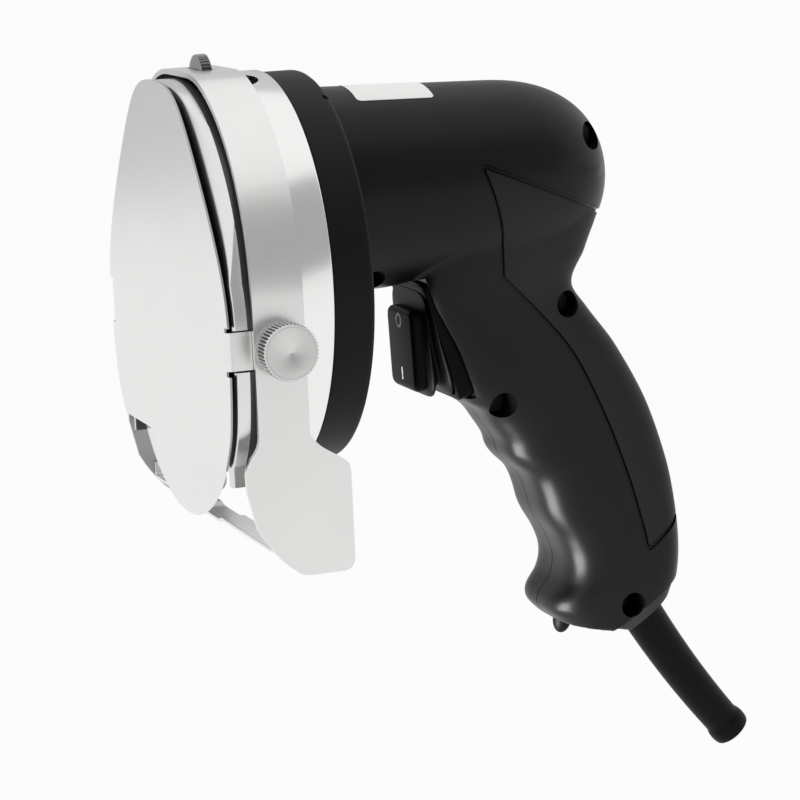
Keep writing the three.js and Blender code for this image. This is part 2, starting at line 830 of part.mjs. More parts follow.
function makeWheel() {
  const outline = knurlOutline(wheelRadius, wheelKnurls, knurlDepth);
  const placed = outline.map(([y, z]) => [y, z + wheelZ]);
  const [frontX, rearX] = [wheelX - wheelThickness / 2, wheelX + wheelThickness / 2];
  const disc = prismX(placed, frontX, rearX);
  return cut(disc, rodX(studRadius + fitGap, 0, reach, 0, wheelZ, pinSides));
}

function makeStud() {
  const frontX = wheelX - wheelThickness / 2 - guardTravel;
  return rodX(studRadius, frontX, studEndX, 0, wheelZ, pinSides);
}

// Smooth value between listed [value, z] pairs, from the top down
function valueAt(pairs, z) {
  const last = pairs.length - 1;
  if (z >= pairs[0][1]) return pairs[0][0];
  if (z <= pairs[last][1]) return pairs[last][0];
  const i = pairs.findIndex((pair) => pair[1] <= z) - 1;
  const slope = (k) => {
    const low = pairs[Math.min(k + 1, last)];
    const high = pairs[Math.max(k - 1, 0)];
    return (low[0] - high[0]) / (low[1] - high[1]);
  };
  const [v0, z0] = pairs[i];
  const [v1, z1] = pairs[i + 1];
  const span = z1 - z0;
  const t = (z - z0) / span;
  const bend = t * t * (3 - 2 * t);
  const lead = t * (1 - t) * (1 - t) * span * slope(i);
  const trail = t * t * (t - 1) * span * slope(i + 1);
  return v0 * (1 - bend) + v1 * bend + lead + trail;
}

// Barrel: round sections along X that close in a blunt nose at the rear
function barrelBody(inset, facets) {
  const frontX = inset ? barrelFrontX - over : barrelFrontX;
  const rearX = barrelRearX - inset;
  const stations = [frontX, noseStartX];
  for (let i = 1; i <= facets.nose; i++) {
    const t = Math.sin((noseShare * Math.PI * i) / (2 * facets.nose));
    stations.push(noseStartX + t * (rearX - noseStartX));
  }
  const rings = stations.map((x) => {
    const t = Math.max(0, (x - noseStartX) / (rearX - noseStartX));
    const nose = Math.pow(1 - Math.pow(t, nosePower), 1 / nosePower);
    const radius = (barrelRadius - barrelTaper * (x - barrelFrontX) - inset) * nose;
    const ring = [];
    for (let i = 0; i < facets.barrel; i++) {
      const angle = (2 * Math.PI * i) / facets.barrel;
      ring.push(new THREE.Vector3(x, radius * Math.cos(angle), motorAxisZ + radius * Math.sin(angle)));
    }
    return ring;
  });
  return loft(rings);
}

// Grip: level sections with rounded corners, following the outline curves
function gripBody(inset, facets) {
  const rings = [];
  for (let k = 0; k <= facets.levels; k++) {
    const z = gripTopZ + ((gripFootZ - gripTopZ) * k) / facets.levels;
    const front = valueAt(gripFront, z) + inset;
    const rear = valueAt(gripRear, z) - inset;
    const half = valueAt(gripHalfWidth, z) - inset;
    const ring = [];
    for (let i = 0; i < facets.grip; i++) {
      const angle = (2 * Math.PI * i) / facets.grip;
      const [c, s] = [Math.cos(angle), Math.sin(angle)];
      const u = Math.sign(c) * Math.pow(Math.abs(c), 2 / gripPower);
      const v = Math.sign(s) * Math.pow(Math.abs(s), 2 / gripPower);
      ring.push(new THREE.Vector3((front + rear) / 2 + (u * (rear - front)) / 2, v * half, z));
    }
    rings.push(ring);
  }
  const belowBase = new THREE.BoxGeometry(reach, reach, reach).translate(0, 0, -reach / 2 + inset);
  belowBase.rotateY(baseTilt).translate(baseFrontX, 0, baseFrontZ);
  return cut(loft(rings), solidOf(belowBase));
}

function handleBody(inset, facets = skinFacets) {
  return join(barrelBody(inset, facets), gripBody(inset, facets));
}

// Strain relief: sections across a bent path, from the seat in the collar to the end bead
const bootPath = new THREE.QuadraticBezierCurve(
  new THREE.Vector2(bootStart.x, bootStart.z),
  new THREE.Vector2(bootControl.x, bootControl.z),
  new THREE.Vector2(bootEnd.x, bootEnd.z),
);

function bootRing(t, back, radius, sides) {
  const tangent = bootPath.getTangent(t);
  const point = bootPath.getPoint(t).addScaledVector(tangent, -back);
  const ring = [];
  for (let i = 0; i < sides; i++) {
    const angle = (2 * Math.PI * i) / sides;
    const side = radius * Math.cos(angle);
    ring.push(new THREE.Vector3(
      point.x - tangent.y * side,
      radius * Math.sin(angle),
      point.y + tangent.x * side,
    ));
  }
  return ring;
}

function makeBoot() {
  const seatBack = bootSeat + fitGap;
  const rings = [
    bootRing(0, seatBack + bootFlange, bootFlangeRadius, bootSides),
    bootRing(0, seatBack, bootFlangeRadius, bootSides),
    bootRing(0, seatBack, bootRootRadius, bootSides),
  ];
  for (let i = 0; i <= bootSteps; i++) {
    const t = (bootBeadStart * i) / bootSteps;
    const radius = bootRootRadius + ((bootTipRadius - bootRootRadius) * i) / bootSteps;
    rings.push(bootRing(t, 0, radius, bootSides));
  }
  for (const [t, share] of bootBead) {
    rings.push(bootRing(t, 0, bootTipRadius + (bootBeadRadius - bootTipRadius) * share, bootSides));
  }
  const socket = loft([
    bootRing(1, cordSocket, cordRadius, bootSides),
    bootRing(1, -over, cordRadius, bootSides),
  ]);
  return cut(loft(rings), socket);
}

function bootRod(radius, fromBack, toBack) {
  return loft([bootRing(0, fromBack, radius, rodSides), bootRing(0, toBack, radius, rodSides)]);
}

// Bumper: a push-in rubber foot that stands square to the sloping base
const baseDown = new THREE.Vector3(-Math.sin(baseTilt), 0, -Math.cos(baseTilt));
const baseAlong = new THREE.Vector3(Math.cos(baseTilt), 0, -Math.sin(baseTilt));
const bumperPlace = new THREE.Vector3(baseFrontX, 0, baseFrontZ).addScaledVector(baseAlong, bumperFromFront);

function baseTurned(profile) {
  const points = profile.map(([down, radius]) => new THREE.Vector2(radius, -down));
  const lathe = new THREE.LatheGeometry(points, rodSides).rotateX(Math.PI / 2).rotateY(baseTilt);
  return solidOf(lathe.translate(bumperPlace.x, bumperPlace.y, bumperPlace.z));
}

function makeBumper() {
  const dome = [0, 0.35, 0.7, 1].map((share) => [
    fitGap + bumperDrop * Math.sin((share * Math.PI) / 2),
    bumperRadius * Math.cos((share * Math.PI) / 2),
  ]);
  return baseTurned([[-wall, 0], [-wall, bumperStem], [fitGap, bumperStem], ...dome]);
}

// Switch frame: along the slanted face, and out of it
const faceLength = Math.hypot(switchFoot.x - switchTop.x, switchFoot.z - switchTop.z);
const faceDown = new THREE.Vector3(switchFoot.x - switchTop.x, 0, switchFoot.z - switchTop.z).normalize();
const faceOut = new THREE.Vector3(faceDown.z, 0, -faceDown.x);
const faceMiddle = new THREE.Vector3(
  (switchTop.x + switchFoot.x) / 2, 0, (switchTop.z + switchFoot.z) / 2,
);
const onFace = new THREE.Matrix4()
  .makeBasis(faceDown, new THREE.Vector3(0, -1, 0), faceOut)
  .setPosition(faceMiddle);

function faceBlock(halfLength, halfWidth, from, to, shift = 0) {
  const box = new THREE.BoxGeometry(2 * halfLength, 2 * halfWidth, to - from);
  return solidOf(box.translate(shift, 0, (from + to) / 2).applyMatrix4(onFace));
}

function pinRod(radius, half) {
  return rodY(radius, -half, half, rockerPivot.x, rockerPivot.z, pinSides);
}

const cheekInner = stemHalfWidth + fitGap;
const cheekOuter = cheekInner + cheekThickness;
const pivotAway = new THREE.Vector3(rockerPivot.x, 0, rockerPivot.z).sub(faceMiddle);
const pivotOut = pivotAway.dot(faceOut);
const pivotDown = pivotAway.dot(faceDown);

const rockerMiddle = new THREE.Vector3(rockerRearX, 0, (rockerTopZ + rockerFootZ) / 2);
const rockerShift = rockerMiddle.sub(faceMiddle).dot(faceDown);

function makeBezel() {
  const front = fitGap + bezelThickness;
  const frame = faceBlock(faceLength / 2 - fitGap, bezelHalfWidth, fitGap, front);
  return cut(frame, faceBlock(switchHalfLength - bezelLip, switchHalfWidth - bezelLip, 0, front + over));
}

function makeSwitchBody() {
  const body = faceBlock(switchHalfLength, switchHalfWidth, -switchDepth, 0);
  const cheekReach = pivotOut + pinRadius + cheekWall;
  const cheeks = faceBlock(pinRadius + cheekWall, cheekOuter, -over, cheekReach, pivotDown);
  const between = faceBlock(switchHalfLength - switchWall, cheekInner, -switchSlot, cheekReach + over);
  return cut(join(body, cheeks), between, pinRod(pinRadius + pressGap, reach));
}

function roundedBox(u0, u1, v0, v1, corner) {
  const centres = [
    [u1 - corner, v1 - corner],
    [u0 + corner, v1 - corner],
    [u0 + corner, v0 + corner],
    [u1 - corner, v0 + corner],
  ];
  return centres.flatMap(([u, v], quarter) => {
    const arc = [];
    for (let i = 0; i <= cornerSteps; i++) {
      const angle = (Math.PI / 2) * (quarter + i / cornerSteps);
      arc.push([u + corner * Math.cos(angle), v + corner * Math.sin(angle)]);
    }
    return arc;
  });
}

function makeRocker() {
  const outline = roundedBox(-rockerHalfWidth, rockerHalfWidth, rockerFootZ, rockerTopZ, rockerCorner);
  const cap = prismX(outline, rockerFaceX, rockerRearX);
  const stem = block(
    rockerRearX - over, rockerPivot.x + stemHalfHeight,
    -stemHalfWidth, stemHalfWidth,
    rockerPivot.z - stemHalfHeight, rockerPivot.z + stemHalfHeight,
  );
  return cut(join(cap, stem), pinRod(pinRadius + shankGap, reach));
}

// Bellows ring: a rounded oblong on the way from the bezel, share 0, to the back of the rocker, share 1
function bellowsRing(share, inset, lift) {
  const seat = 2 * fitGap + bezelThickness;
  const capHalf = (rockerTopZ - rockerFootZ) / 2 - bellowsInset;
  const ring = [];
  for (let i = 0; i < midSides; i++) {
    const angle = (2 * Math.PI * i) / midSides;
    const [c, s] = [Math.cos(angle), Math.sin(angle)];
    const u = Math.sign(c) * Math.pow(Math.abs(c), 2 / bellowsPower);
    const v = Math.sign(s) * Math.pow(Math.abs(s), 2 / bellowsPower);
    const footDown = u * (switchHalfLength + bellowsFoot - inset);
    const headDown = rockerShift + u * (capHalf - inset);
    const headX = faceMiddle.x + headDown * faceDown.x;
    const headOut = (rockerRearX + fitGap - headX) / faceOut.x;
    const footAcross = v * (switchHalfWidth + bellowsFoot - inset);
    const headAcross = v * (rockerHalfWidth - bellowsInset - inset);
    ring.push(new THREE.Vector3(
      THREE.MathUtils.lerp(footDown, headDown, share),
      THREE.MathUtils.lerp(footAcross, headAcross, share),
      THREE.MathUtils.lerp(seat, headOut, share) + lift,
    ).applyMatrix4(onFace));
  }
  return ring;
}

function makeBellows() {
  const rows = 2 * bellowsRibs + 1;
  const rings = [];
  for (let k = 0; k <= rows; k++) {
    rings.push(bellowsRing(k / rows, k % 2 ? 0 : bellowsRibDepth, 0));
  }
  const bore = bellowsRibDepth + bellowsWall;
  return cut(loft(rings), loft([bellowsRing(0, bore, -over), bellowsRing(1, bore, over)]));
}

// Housing: one hollow body, ribs and screw posts, parted down the middle
function inlayOutline() {
  const [tip, corner, foot] = [inlayTip, inlayCorner, inlayFoot].map(({ x, z }) => [x, z]);
  const front = smooth([foot, ...inlayFront, corner], 12);
  const neck = smooth([corner, ...inlayNeck, tip], 5);
  const topSlope = (inlayTopRear.z - inlayTip.z) / (inlayTopRear.x - inlayTip.x);
  const footSlope = (inlayFootRear.z - inlayFoot.z) / (inlayFootRear.x - inlayFoot.x);
  const backX = barrelRearX + barrelRadius;
  return [
    ...front.slice(0, -1),
    ...neck,
    [backX, inlayTip.z + topSlope * (backX - inlayTip.x)],
    [backX, inlayFoot.z + footSlope * (backX - inlayFoot.x)],
  ];
}

function housingShell() {
  const outer = join(handleBody(0), bootRod(collarRadius, collarLength, 0));
  const inner = handleBody(wall, coreFacets);
  const backing = handleBody(wall / 2);
  let shell = cut(outer, inner);

  for (const ribX of [ribFrontX, ribRearX]) {
    const slab = block(ribX, ribX + ribThickness, -reach, reach, motorAxisZ - barrelRadius, reach);
    shell = join(shell, slab.intersect(backing));
  }
  for (const [x, z] of housingScrewPlaces) {
    shell = join(shell, rodY(bossRadius, -reach, reach, x, z).intersect(backing));
  }
  const railFoot = boardTopZ - boardLength + railInset;
  for (const railZ of [boardTopZ - railInset, railFoot]) {
    const rail = block(
      boardFrontX + railInset, reach,
      -reach, -boardThickness / 2 - fitGap,
      railZ - railHalf, railZ + railHalf,
    );
    shell = join(shell, rail.intersect(backing));
  }
  const canBore = rodX(canRadius + fitGap, 0, reach, 0, motorAxisZ, midSides);
  shell = cut(shell, canBore.intersect(inner));
  for (const [x, z] of housingScrewPlaces) {
    shell = cut(
      shell,
      rodY(counterboreRadius, -reach, -screwSeatY, x, z),
      rodY(screwRadius + shankGap, -screwSeatY - over, screwBite + fitGap, x, z, pinSides),
    );
  }
  shell = cut(shell, bootRod(bootRootRadius + fitGap, collarLength / 2, -collarLength / 4));
  shell = cut(shell, bootRod(bootFlangeRadius + fitGap, bootSeat + bootFlange + 2 * fitGap, bootSeat));
  const stemHole = bumperStem + fitGap;
  const stemDepth = wall + bumperDrop;
  shell = cut(shell, baseTurned([
    [-stemDepth, 0], [-stemDepth, stemHole], [stemDepth, stemHole], [stemDepth, 0],
  ]));
  shell = cut(shell, faceBlock(switchHalfLength + fitGap, switchHalfWidth + fitGap, -switchDepth, reach));
  return cut(shell, faceBlock(faceLength / 2, bezelHalfWidth + fitGap, 0, reach));
}

function makeHousing() {
  const shell = housingShell();
  const bed = cut(
    prismY(grown(inlayOutline(), inlayGroove), -reach, reach),
    handleBody(inlayDepth + fitGap),
  );
  const recessed = cut(shell, bed);
  const left = block(-reach, reach, -reach, -seamGap / 2, -reach, reach);
  const right = block(-reach, reach, seamGap / 2, reach, -reach, reach);
  return { left: recessed.intersect(left), right: recessed.intersect(right) };
}

function makeInlay(side) {
  const skin = cut(handleBody(0), handleBody(inlayDepth));
  const [near, far] = side < 0 ? [-reach, -seamGap] : [seamGap, reach];
  const panel = skin.intersect(prismY(inlayOutline(), near, far));
  const wells = housingScrewPlaces.map(([x, z]) => rodY(counterboreRadius, -reach, 0, x, z));
  return side < 0 ? cut(panel, ...wells) : panel;
}

function makeHousingScrew(place) {
  const [x, z] = place;
  const headFoot = -screwSeatY - pressGap;
  const head = rodY(screwHeadRadius, headFoot - screwHeadHeight, headFoot, x, z, pinSides);
  return join(head, rodY(screwRadius, -screwSeatY - over, screwBite, x, z, pinSides));
}

// Motor
function makeCan() {
  const inner = canRadius - canWall;
  const noseBore = motorBearingRadius + pressGap;
  const noseEnd = canNoseX + canWall;
  return turnedX(
    [
      [canNoseX, motorShaftRadius + shaftClear],
      [canNoseX, canNoseRadius],
      [canFrontX, canNoseRadius],
      [canFrontX, canRadius],
      [canRearX, canRadius],
      [canRearX, inner],
      [canFrontX + canWall, inner],
      [canFrontX + canWall, noseBore],
      [noseEnd, noseBore],
      [noseEnd, motorShaftRadius + shaftClear],
      [canNoseX, motorShaftRadius + shaftClear],
    ],
    0, motorAxisZ, midSides,
  );
}

const motorFrontBearingX = canNoseX + canWall + fitGap;
const brushPlateX = canRearX - brushPlateThickness;
const motorRearBearingX = brushPlateX - motorBearingWidth + brushPlateThickness;

function makeMotorBearing(x) {
  const bore = motorShaftRadius + pressGap;
  return ringX(bore, motorBearingRadius, x, x + motorBearingWidth, 0, motorAxisZ, midSides);
}

function makeMagnet(side) {
  const inner = magnetOuter - magnetThickness;
  const outline = [];
  for (let i = 0; i <= magnetSteps; i++) {
    const angle = magnetAngle * (i / magnetSteps - 0.5);
    outline.push([magnetOuter * Math.sin(angle), side * magnetOuter * Math.cos(angle)]);
  }
  for (let i = magnetSteps; i >= 0; i--) {
    const angle = magnetAngle * (i / magnetSteps - 0.5);
    outline.push([inner * Math.sin(angle), side * inner * Math.cos(angle)]);
  }
  return prismX(outline, magnetFrontX, magnetFrontX + magnetLength).translate([0, 0, motorAxisZ]);
}

function makeArmature() {
  const mouth = armatureRadius - armatureSlotDepth;
  let core = rodX(armatureRadius, magnetFrontX, magnetFrontX + magnetLength, 0, 0, midSides);
  for (let i = 0; i < armatureSlots; i++) {
    const slot = block(0, reach, -armatureSlotHalf, armatureSlotHalf, mouth, reach);
    core = cut(core, slot.rotate([(360 * i) / armatureSlots, 0, 0]));
  }
  core = cut(core, rodX(motorShaftRadius + pressGap, 0, reach, 0, 0, pinSides));
  return core.translate([0, 0, motorAxisZ]);
}

const commutatorX = magnetFrontX + magnetLength + commutatorAway;

function makeCommutator() {
  return ringX(
    motorShaftRadius + pressGap, commutatorRadius,
    commutatorX, commutatorX + commutatorLength, 0, motorAxisZ, midSides,
  );
}

function makeMotorShaft() {
  const tailX = motorRearBearingX + motorBearingWidth;
  return rodX(motorShaftRadius, gearFrontX - over, tailX, 0, motorAxisZ, pinSides);
}

function makeBrush(side) {
  const middleX = commutatorX + commutatorLength / 2;
  const from = side * (commutatorRadius + fitGap);
  const to = from + side * brushLength;
  return block(
    middleX - brushSize / 2, middleX + brushSize / 2,
    Math.min(from, to), Math.max(from, to),
    motorAxisZ - brushSize / 2, motorAxisZ + brushSize / 2,
  );
}

// Brush plate: closes the can, carries the rear bearing and a sleeve round each brush
function makeBrushPlate() {
  const outer = canRadius - canWall - fitGap;
  const middleX = commutatorX + commutatorLength / 2;
  const channel = brushSize / 2 + fitGap;
  const sleeve = channel + brushSleeve;
  const seatX = motorRearBearingX - motorBearingSeat;
  let plate = rodX(outer, brushPlateX, canRearX, 0, motorAxisZ, midSides);
  plate = join(plate, rodX(motorBearingRadius + motorBearingSeat, seatX, canRearX, 0, motorAxisZ, midSides));
  for (const side of [-1, 1]) {
    const [near, far] = [side * (commutatorRadius + brushClear), side * (outer - over)];
    const [low, high] = [Math.min(near, far), Math.max(near, far)];
    const [bottom, top] = [motorAxisZ - sleeve, motorAxisZ + sleeve];
    plate = join(plate, block(middleX - sleeve, brushPlateX + over, low, high, bottom, top));
  }
  plate = cut(plate, block(
    middleX - channel, middleX + channel, -reach, reach,
    motorAxisZ - channel, motorAxisZ + channel,
  ));
  const commutatorEndX = commutatorX + commutatorLength + brushClear;
  plate = cut(plate, rodX(commutatorRadius + brushClear, 0, commutatorEndX, 0, motorAxisZ, midSides));
  plate = cut(plate, rodX(motorBearingRadius + pressGap, motorRearBearingX, reach, 0, motorAxisZ, midSides));
  return cut(plate, rodX(motorShaftRadius + shaftClear, 0, reach, 0, motorAxisZ, pinSides));
}

function makeFan() {
  const rearX = magnetFrontX - fanAway;
  const frontX = rearX - fanWidth;
  let fan = rodX(fanHubRadius, frontX, rearX, 0, 0, midSides);
  fan = join(fan, rodX(fanRadius, rearX - fanSheet, rearX, 0, 0, midSides));
  for (let i = 0; i < fanBlades; i++) {
    const vane = block(frontX, rearX, -fanSheet / 2, fanSheet / 2, fanHubRadius - over, fanRadius);
    fan = join(fan, vane.rotate([(360 * i) / fanBlades, 0, 0]));
  }
  fan = cut(fan, rodX(motorShaftRadius + pressGap, 0, reach, 0, 0, pinSides));
  return fan.translate([0, 0, motorAxisZ]);
}

// Rectifier board on its rails, with the suppression capacitor lying on it
function makeBoard() {
  return block(
    boardFrontX, boardFrontX + boardWidth,
    -boardThickness / 2, boardThickness / 2,
    boardTopZ - boardLength, boardTopZ,
  );
}

function makeCapacitor() {
  const x = boardFrontX + boardWidth / 2;
  const y = boardThickness / 2 + fitGap + capacitorRadius;
  const middleZ = boardTopZ - boardLength / 2;
  const can = new THREE.CylinderGeometry(capacitorRadius, capacitorRadius, capacitorLength, rodSides);
  return solidOf(can.rotateX(Math.PI / 2).translate(x, y, middleZ));
}

// Materials
function finish(color, roughness, metalness) {
  return () => new THREE.MeshStandardMaterial({ color, roughness, metalness });
}
const satinSteel = finish(0xc9c9c6, 0.35, 1);
const polishedAluminium = finish(0xd6d7d8, 0.18, 1);
const bladeSteel = finish(0xd0d1d2, 0.22, 1);
const turnedSteel = finish(0xc4c4c2, 0.3, 1);
const zincSteel = finish(0x8d8f91, 0.42, 1);
const blackPlastic = finish(0x1e1e1f, 0.55, 0);
const flangeBlack = finish(0x2a2a2b, 0.6, 0);
const inlayRubber = finish(0x232726, 0.75, 0);
const blackRubber = finish(0x141415, 0.8, 0);
const copper = finish(0xb87346, 0.35, 1);
const magnetGrey = finish(0x3a3b3d, 0.8, 0);
const boardGreen = finish(0x2f5a3a, 0.6, 0);
const acetal = finish(0xdcd9cf, 0.5, 0);

const slicer = new THREE.Group();

function add(name, solid, material) {
  const mesh = new THREE.Mesh(geometryOf(solid), material());
  mesh.name = name;
  slicer.add(mesh);
}

// Head
add("front_plate", makeFrontPlate(), satinSteel);
add("blade", makeBlade(), bladeSteel);
add("blade_screw", makeBladeScrew(), zincSteel);
add("clamp_washer", makeClampWasher(), zincSteel);
add("drum_housing", makeDrum(), polishedAluminium);
add("head_flange", makeFlange(), flangeBlack);
flangeScrewPlaces.forEach((place, i) => add(`flange_screw_${i + 1}`, makeFlangeScrew(place), zincSteel));
add("guard_frame", makeGuard(), satinSteel);
add("cross_strip", makeStrip(), satinSteel);
add("side_knob_left", makeKnob(-1), turnedSteel);
add("side_knob_right", makeKnob(1), turnedSteel);
add("knob_collar_left", makeKnobCollar(-1), turnedSteel);
add("knob_collar_right", makeKnobCollar(1), turnedSteel);
add("thickness_wheel", makeWheel(), turnedSteel);
add("wheel_stud", makeStud(), zincSteel);

// Drive
add("spindle", makeSpindle(), zincSteel);
add("front_bearing", makeFrontBearing(), bladeSteel);
add("rear_bearing", makeRearBearing(), bladeSteel);
add("drive_gear", makeGear(gearTeeth, 0, spindleRadius + pressGap, bladeAxisZ), acetal);
add("motor_pinion", makePinion(), zincSteel);
add("motor_shaft", makeMotorShaft(), zincSteel);
add("armature_core", makeArmature(), magnetGrey);
add("commutator", makeCommutator(), copper);
add("cooling_fan", makeFan(), blackPlastic);
add("motor_can", makeCan(), zincSteel);
add("magnet_upper", makeMagnet(1), magnetGrey);
add("magnet_lower", makeMagnet(-1), magnetGrey);
add("motor_bearing_front", makeMotorBearing(motorFrontBearingX), bladeSteel);
add("motor_bearing_rear", makeMotorBearing(motorRearBearingX), bladeSteel);
add("brush_plate", makeBrushPlate(), blackPlastic);
add("brush_left", makeBrush(-1), magnetGrey);
add("brush_right", makeBrush(1), magnetGrey);

// Handle
const housing = makeHousing();
add("housing_left", housing.left, blackPlastic);
add("housing_right", housing.right, blackPlastic);
add("grip_inlay_left", makeInlay(-1), inlayRubber);
add("grip_inlay_right", makeInlay(1), inlayRubber);
housingScrewPlaces.forEach((place, i) => add(`housing_screw_${i + 1}`, makeHousingScrew(place), zincSteel));
add("strain_relief", makeBoot(), blackRubber);
add("base_bumper", makeBumper(), blackRubber);
add("switch_body", makeSwitchBody(), blackPlastic);
add("switch_bezel", makeBezel(), blackPlastic);
add("switch_bellows", makeBellows(), blackRubber);
add("switch_rocker", makeRocker(), blackPlastic);
add("switch_pin", pinRod(pinRadius, cheekOuter), zincSteel);
add("rectifier_board", makeBoard(), boardGreen);
add("capacitor", makeCapacitor(), blackPlastic);

export default slicer;
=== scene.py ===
from math import acos, asin, cos, hypot, pi, radians, sin
import bmesh
import bpy
from mathutils import Matrix, Vector


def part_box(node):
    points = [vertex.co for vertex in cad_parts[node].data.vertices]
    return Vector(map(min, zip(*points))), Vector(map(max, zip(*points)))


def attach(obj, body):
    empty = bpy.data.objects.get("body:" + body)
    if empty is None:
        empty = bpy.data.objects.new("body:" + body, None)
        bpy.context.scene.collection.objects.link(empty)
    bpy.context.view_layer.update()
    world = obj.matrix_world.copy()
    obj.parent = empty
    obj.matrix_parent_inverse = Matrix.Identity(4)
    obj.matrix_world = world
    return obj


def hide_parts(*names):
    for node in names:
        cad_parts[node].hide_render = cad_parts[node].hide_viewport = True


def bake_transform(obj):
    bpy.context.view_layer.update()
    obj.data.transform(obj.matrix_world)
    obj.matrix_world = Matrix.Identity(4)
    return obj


# Looks of an electric kebab slicer. Shapes are drawn in millimetres, in the CAD frame, and kept in metres.
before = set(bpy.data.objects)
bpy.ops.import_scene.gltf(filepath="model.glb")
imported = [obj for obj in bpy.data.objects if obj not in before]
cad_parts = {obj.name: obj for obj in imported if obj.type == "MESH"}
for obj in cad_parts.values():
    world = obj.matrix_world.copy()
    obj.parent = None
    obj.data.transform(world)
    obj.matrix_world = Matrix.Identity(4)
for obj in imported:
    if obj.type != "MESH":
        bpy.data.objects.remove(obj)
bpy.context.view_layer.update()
mm = 0.001
along, across, upward = Vector((1, 0, 0)), Vector((0, 1, 0)), Vector((0, 0, 1))
bothSides = ((-1, "left"), (1, "right"))
fineSteps, coarseSteps = 192, 24
beyond, outside = 90, 60  # where a cutting tool is past every piece, and past the handle


def spanOf(node):
    low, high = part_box(node)
    return low / mm, high / mm


# Curves and outlines
def smooth(places, steps):
    points = []
    last = len(places) - 1
    for i in range(last):
        a, b, c, d = (Vector(places[min(max(i + k, 0), last)]) for k in (-1, 0, 1, 2))
        for k in range(steps):
            t = k / steps
            lead, trail = (c - a) / 2, (d - b) / 2
            rise, fall = 3 * (c - b) - 2 * lead - trail, 2 * (b - c) + lead + trail
            points.append(b + lead * t + rise * t ** 2 + fall * t ** 3)
    return points + [Vector(places[last])]


def valueAt(pairs, z):
    last = len(pairs) - 1
    if z >= pairs[0][1]:
        return pairs[0][0]
    if z <= pairs[last][1]:
        return pairs[last][0]
    i = next(k for k in range(last) if pairs[k + 1][1] <= z)

    def slope(k):
        low, high = pairs[min(k + 1, last)], pairs[max(k - 1, 0)]
        return (low[0] - high[0]) / (low[1] - high[1])

    (v0, z0), (v1, z1) = pairs[i], pairs[i + 1]
    span = z1 - z0
    t = (z - z0) / span
    bend = t * t * (3 - 2 * t)
    return v0 * (1 - bend) + v1 * bend + span * (t * (1 - t) ** 2 * slope(i) + t * t * (t - 1) * slope(i + 1))


def eased(points, radius, steps=4, closed=True):
    rounded = []
    for i, point in enumerate(points):
        corner = Vector(point)
        if not closed and i in (0, len(points) - 1):
            rounded.append(corner)
            continue
        before = Vector(points[i - 1]) - corner
        after = Vector(points[(i + 1) % len(points)]) - corner
        reach = min(radius, 0.49 * before.length, 0.49 * after.length)
        for k in range(steps + 1):
            t = k / steps
            rounded.append(corner + before.normalized() * reach * (1 - t) ** 2 + after.normalized() * reach * t ** 2)
    return rounded


def grown(outline, amount):
    area = sum(a.x * b.y - b.x * a.y for a, b in zip(outline, outline[1:] + outline[:1]))
    side = amount if area > 0 else -amount
    moved = []
    for i, point in enumerate(outline):
        inward = (point - outline[i - 1]).normalized()
        onward = (outline[(i + 1) % len(outline)] - point).normalized()
        bisector = Vector((inward.y + onward.y, -inward.x - onward.x)).normalized()
        spread = max(0.5, bisector.x * inward.y - bisector.y * inward.x)
        moved.append(point + bisector * side / spread)
    return moved


def oblong(angle, power):
    c, s = cos(angle), sin(angle)
    return abs(c) ** (2 / power) * (1 if c > 0 else -1), abs(s) ** (2 / power) * (1 if s > 0 else -1)


def turnsOf(count):
    return [2 * pi * i / count for i in range(count)]


# Each place of a line with the direction in which the line runs there
def runsOf(line):
    last = len(line) - 1
    for i, place in enumerate(line):
        yield place, (line[min(i + 1, last)] - line[max(i - 1, 0)]).normalized()


def aimed(place, aim, axis=upward):
    return Matrix.Translation(place) @ axis.rotation_difference(Vector(aim)).to_matrix().to_4x4()


# Meshes
def linked(name, bm):
    mesh = bpy.data.meshes.new(name)
    bm.to_mesh(mesh)
    bm.free()
    piece = bpy.data.objects.new(name, mesh)
    bpy.context.scene.collection.objects.link(piece)
    return piece


def loopOf(bm, points):
    verts = [bm.verts.new(point) for point in points]
    return [bm.edges.new(pair) for pair in zip(verts, verts[1:] + verts[:1])]


def addSkin(bm, loops, closed=False):
    rims = [loopOf(bm, points) for points in loops]
    for near, far in zip(rims, rims[1:] + (rims[:1] if closed else [])):
        bmesh.ops.bridge_loops(bm, edges=near + far)
    if not closed:
        bmesh.ops.edgeloop_fill(bm, edges=rims[0])
        bmesh.ops.edgeloop_fill(bm, edges=rims[-1])
    bmesh.ops.recalc_face_normals(bm, faces=bm.faces)


def skinned(name, loops, closed=False):
    bm = bmesh.new()
    addSkin(bm, loops, closed)
    return linked(name, bm)


def prism(name, outline, depth):
    depth = Vector(depth)
    return skinned(name, [outline, [Vector(point) + depth for point in outline]])


def turned(name, profile, origin, aim, steps=96):
    bm = bmesh.new()
    verts = [bm.verts.new((radius, 0, height)) for height, radius in profile]
    edges = [bm.edges.new(pair) for pair in zip(verts, verts[1:])]
    bmesh.ops.spin(
        bm, geom=verts + edges, cent=(0, 0, 0), axis=(0, 0, 1), dvec=(0, 0, 0),
        angle=2 * pi, steps=steps, use_merge=True,
    )
    bmesh.ops.remove_doubles(bm, verts=bm.verts, dist=1e-4)
    bmesh.ops.recalc_face_normals(bm, faces=bm.faces)
    bm.transform(aimed(origin, aim))
    return linked(name, bm)


def rod(name, radius, start, end, steps=48):
    aim = Vector(end) - Vector(start)
    return turned(name, [(0, 0), (0, radius), (aim.length, radius), (aim.length, 0)], start, aim, steps)


def block(name, low, high):
    (x0, y0, z0), (x1, y1, z1) = low, high
    return prism(name, [(x0, y0, z0), (x1, y0, z0), (x1, y1, z0), (x0, y1, z0)], (0, 0, z1 - z0))


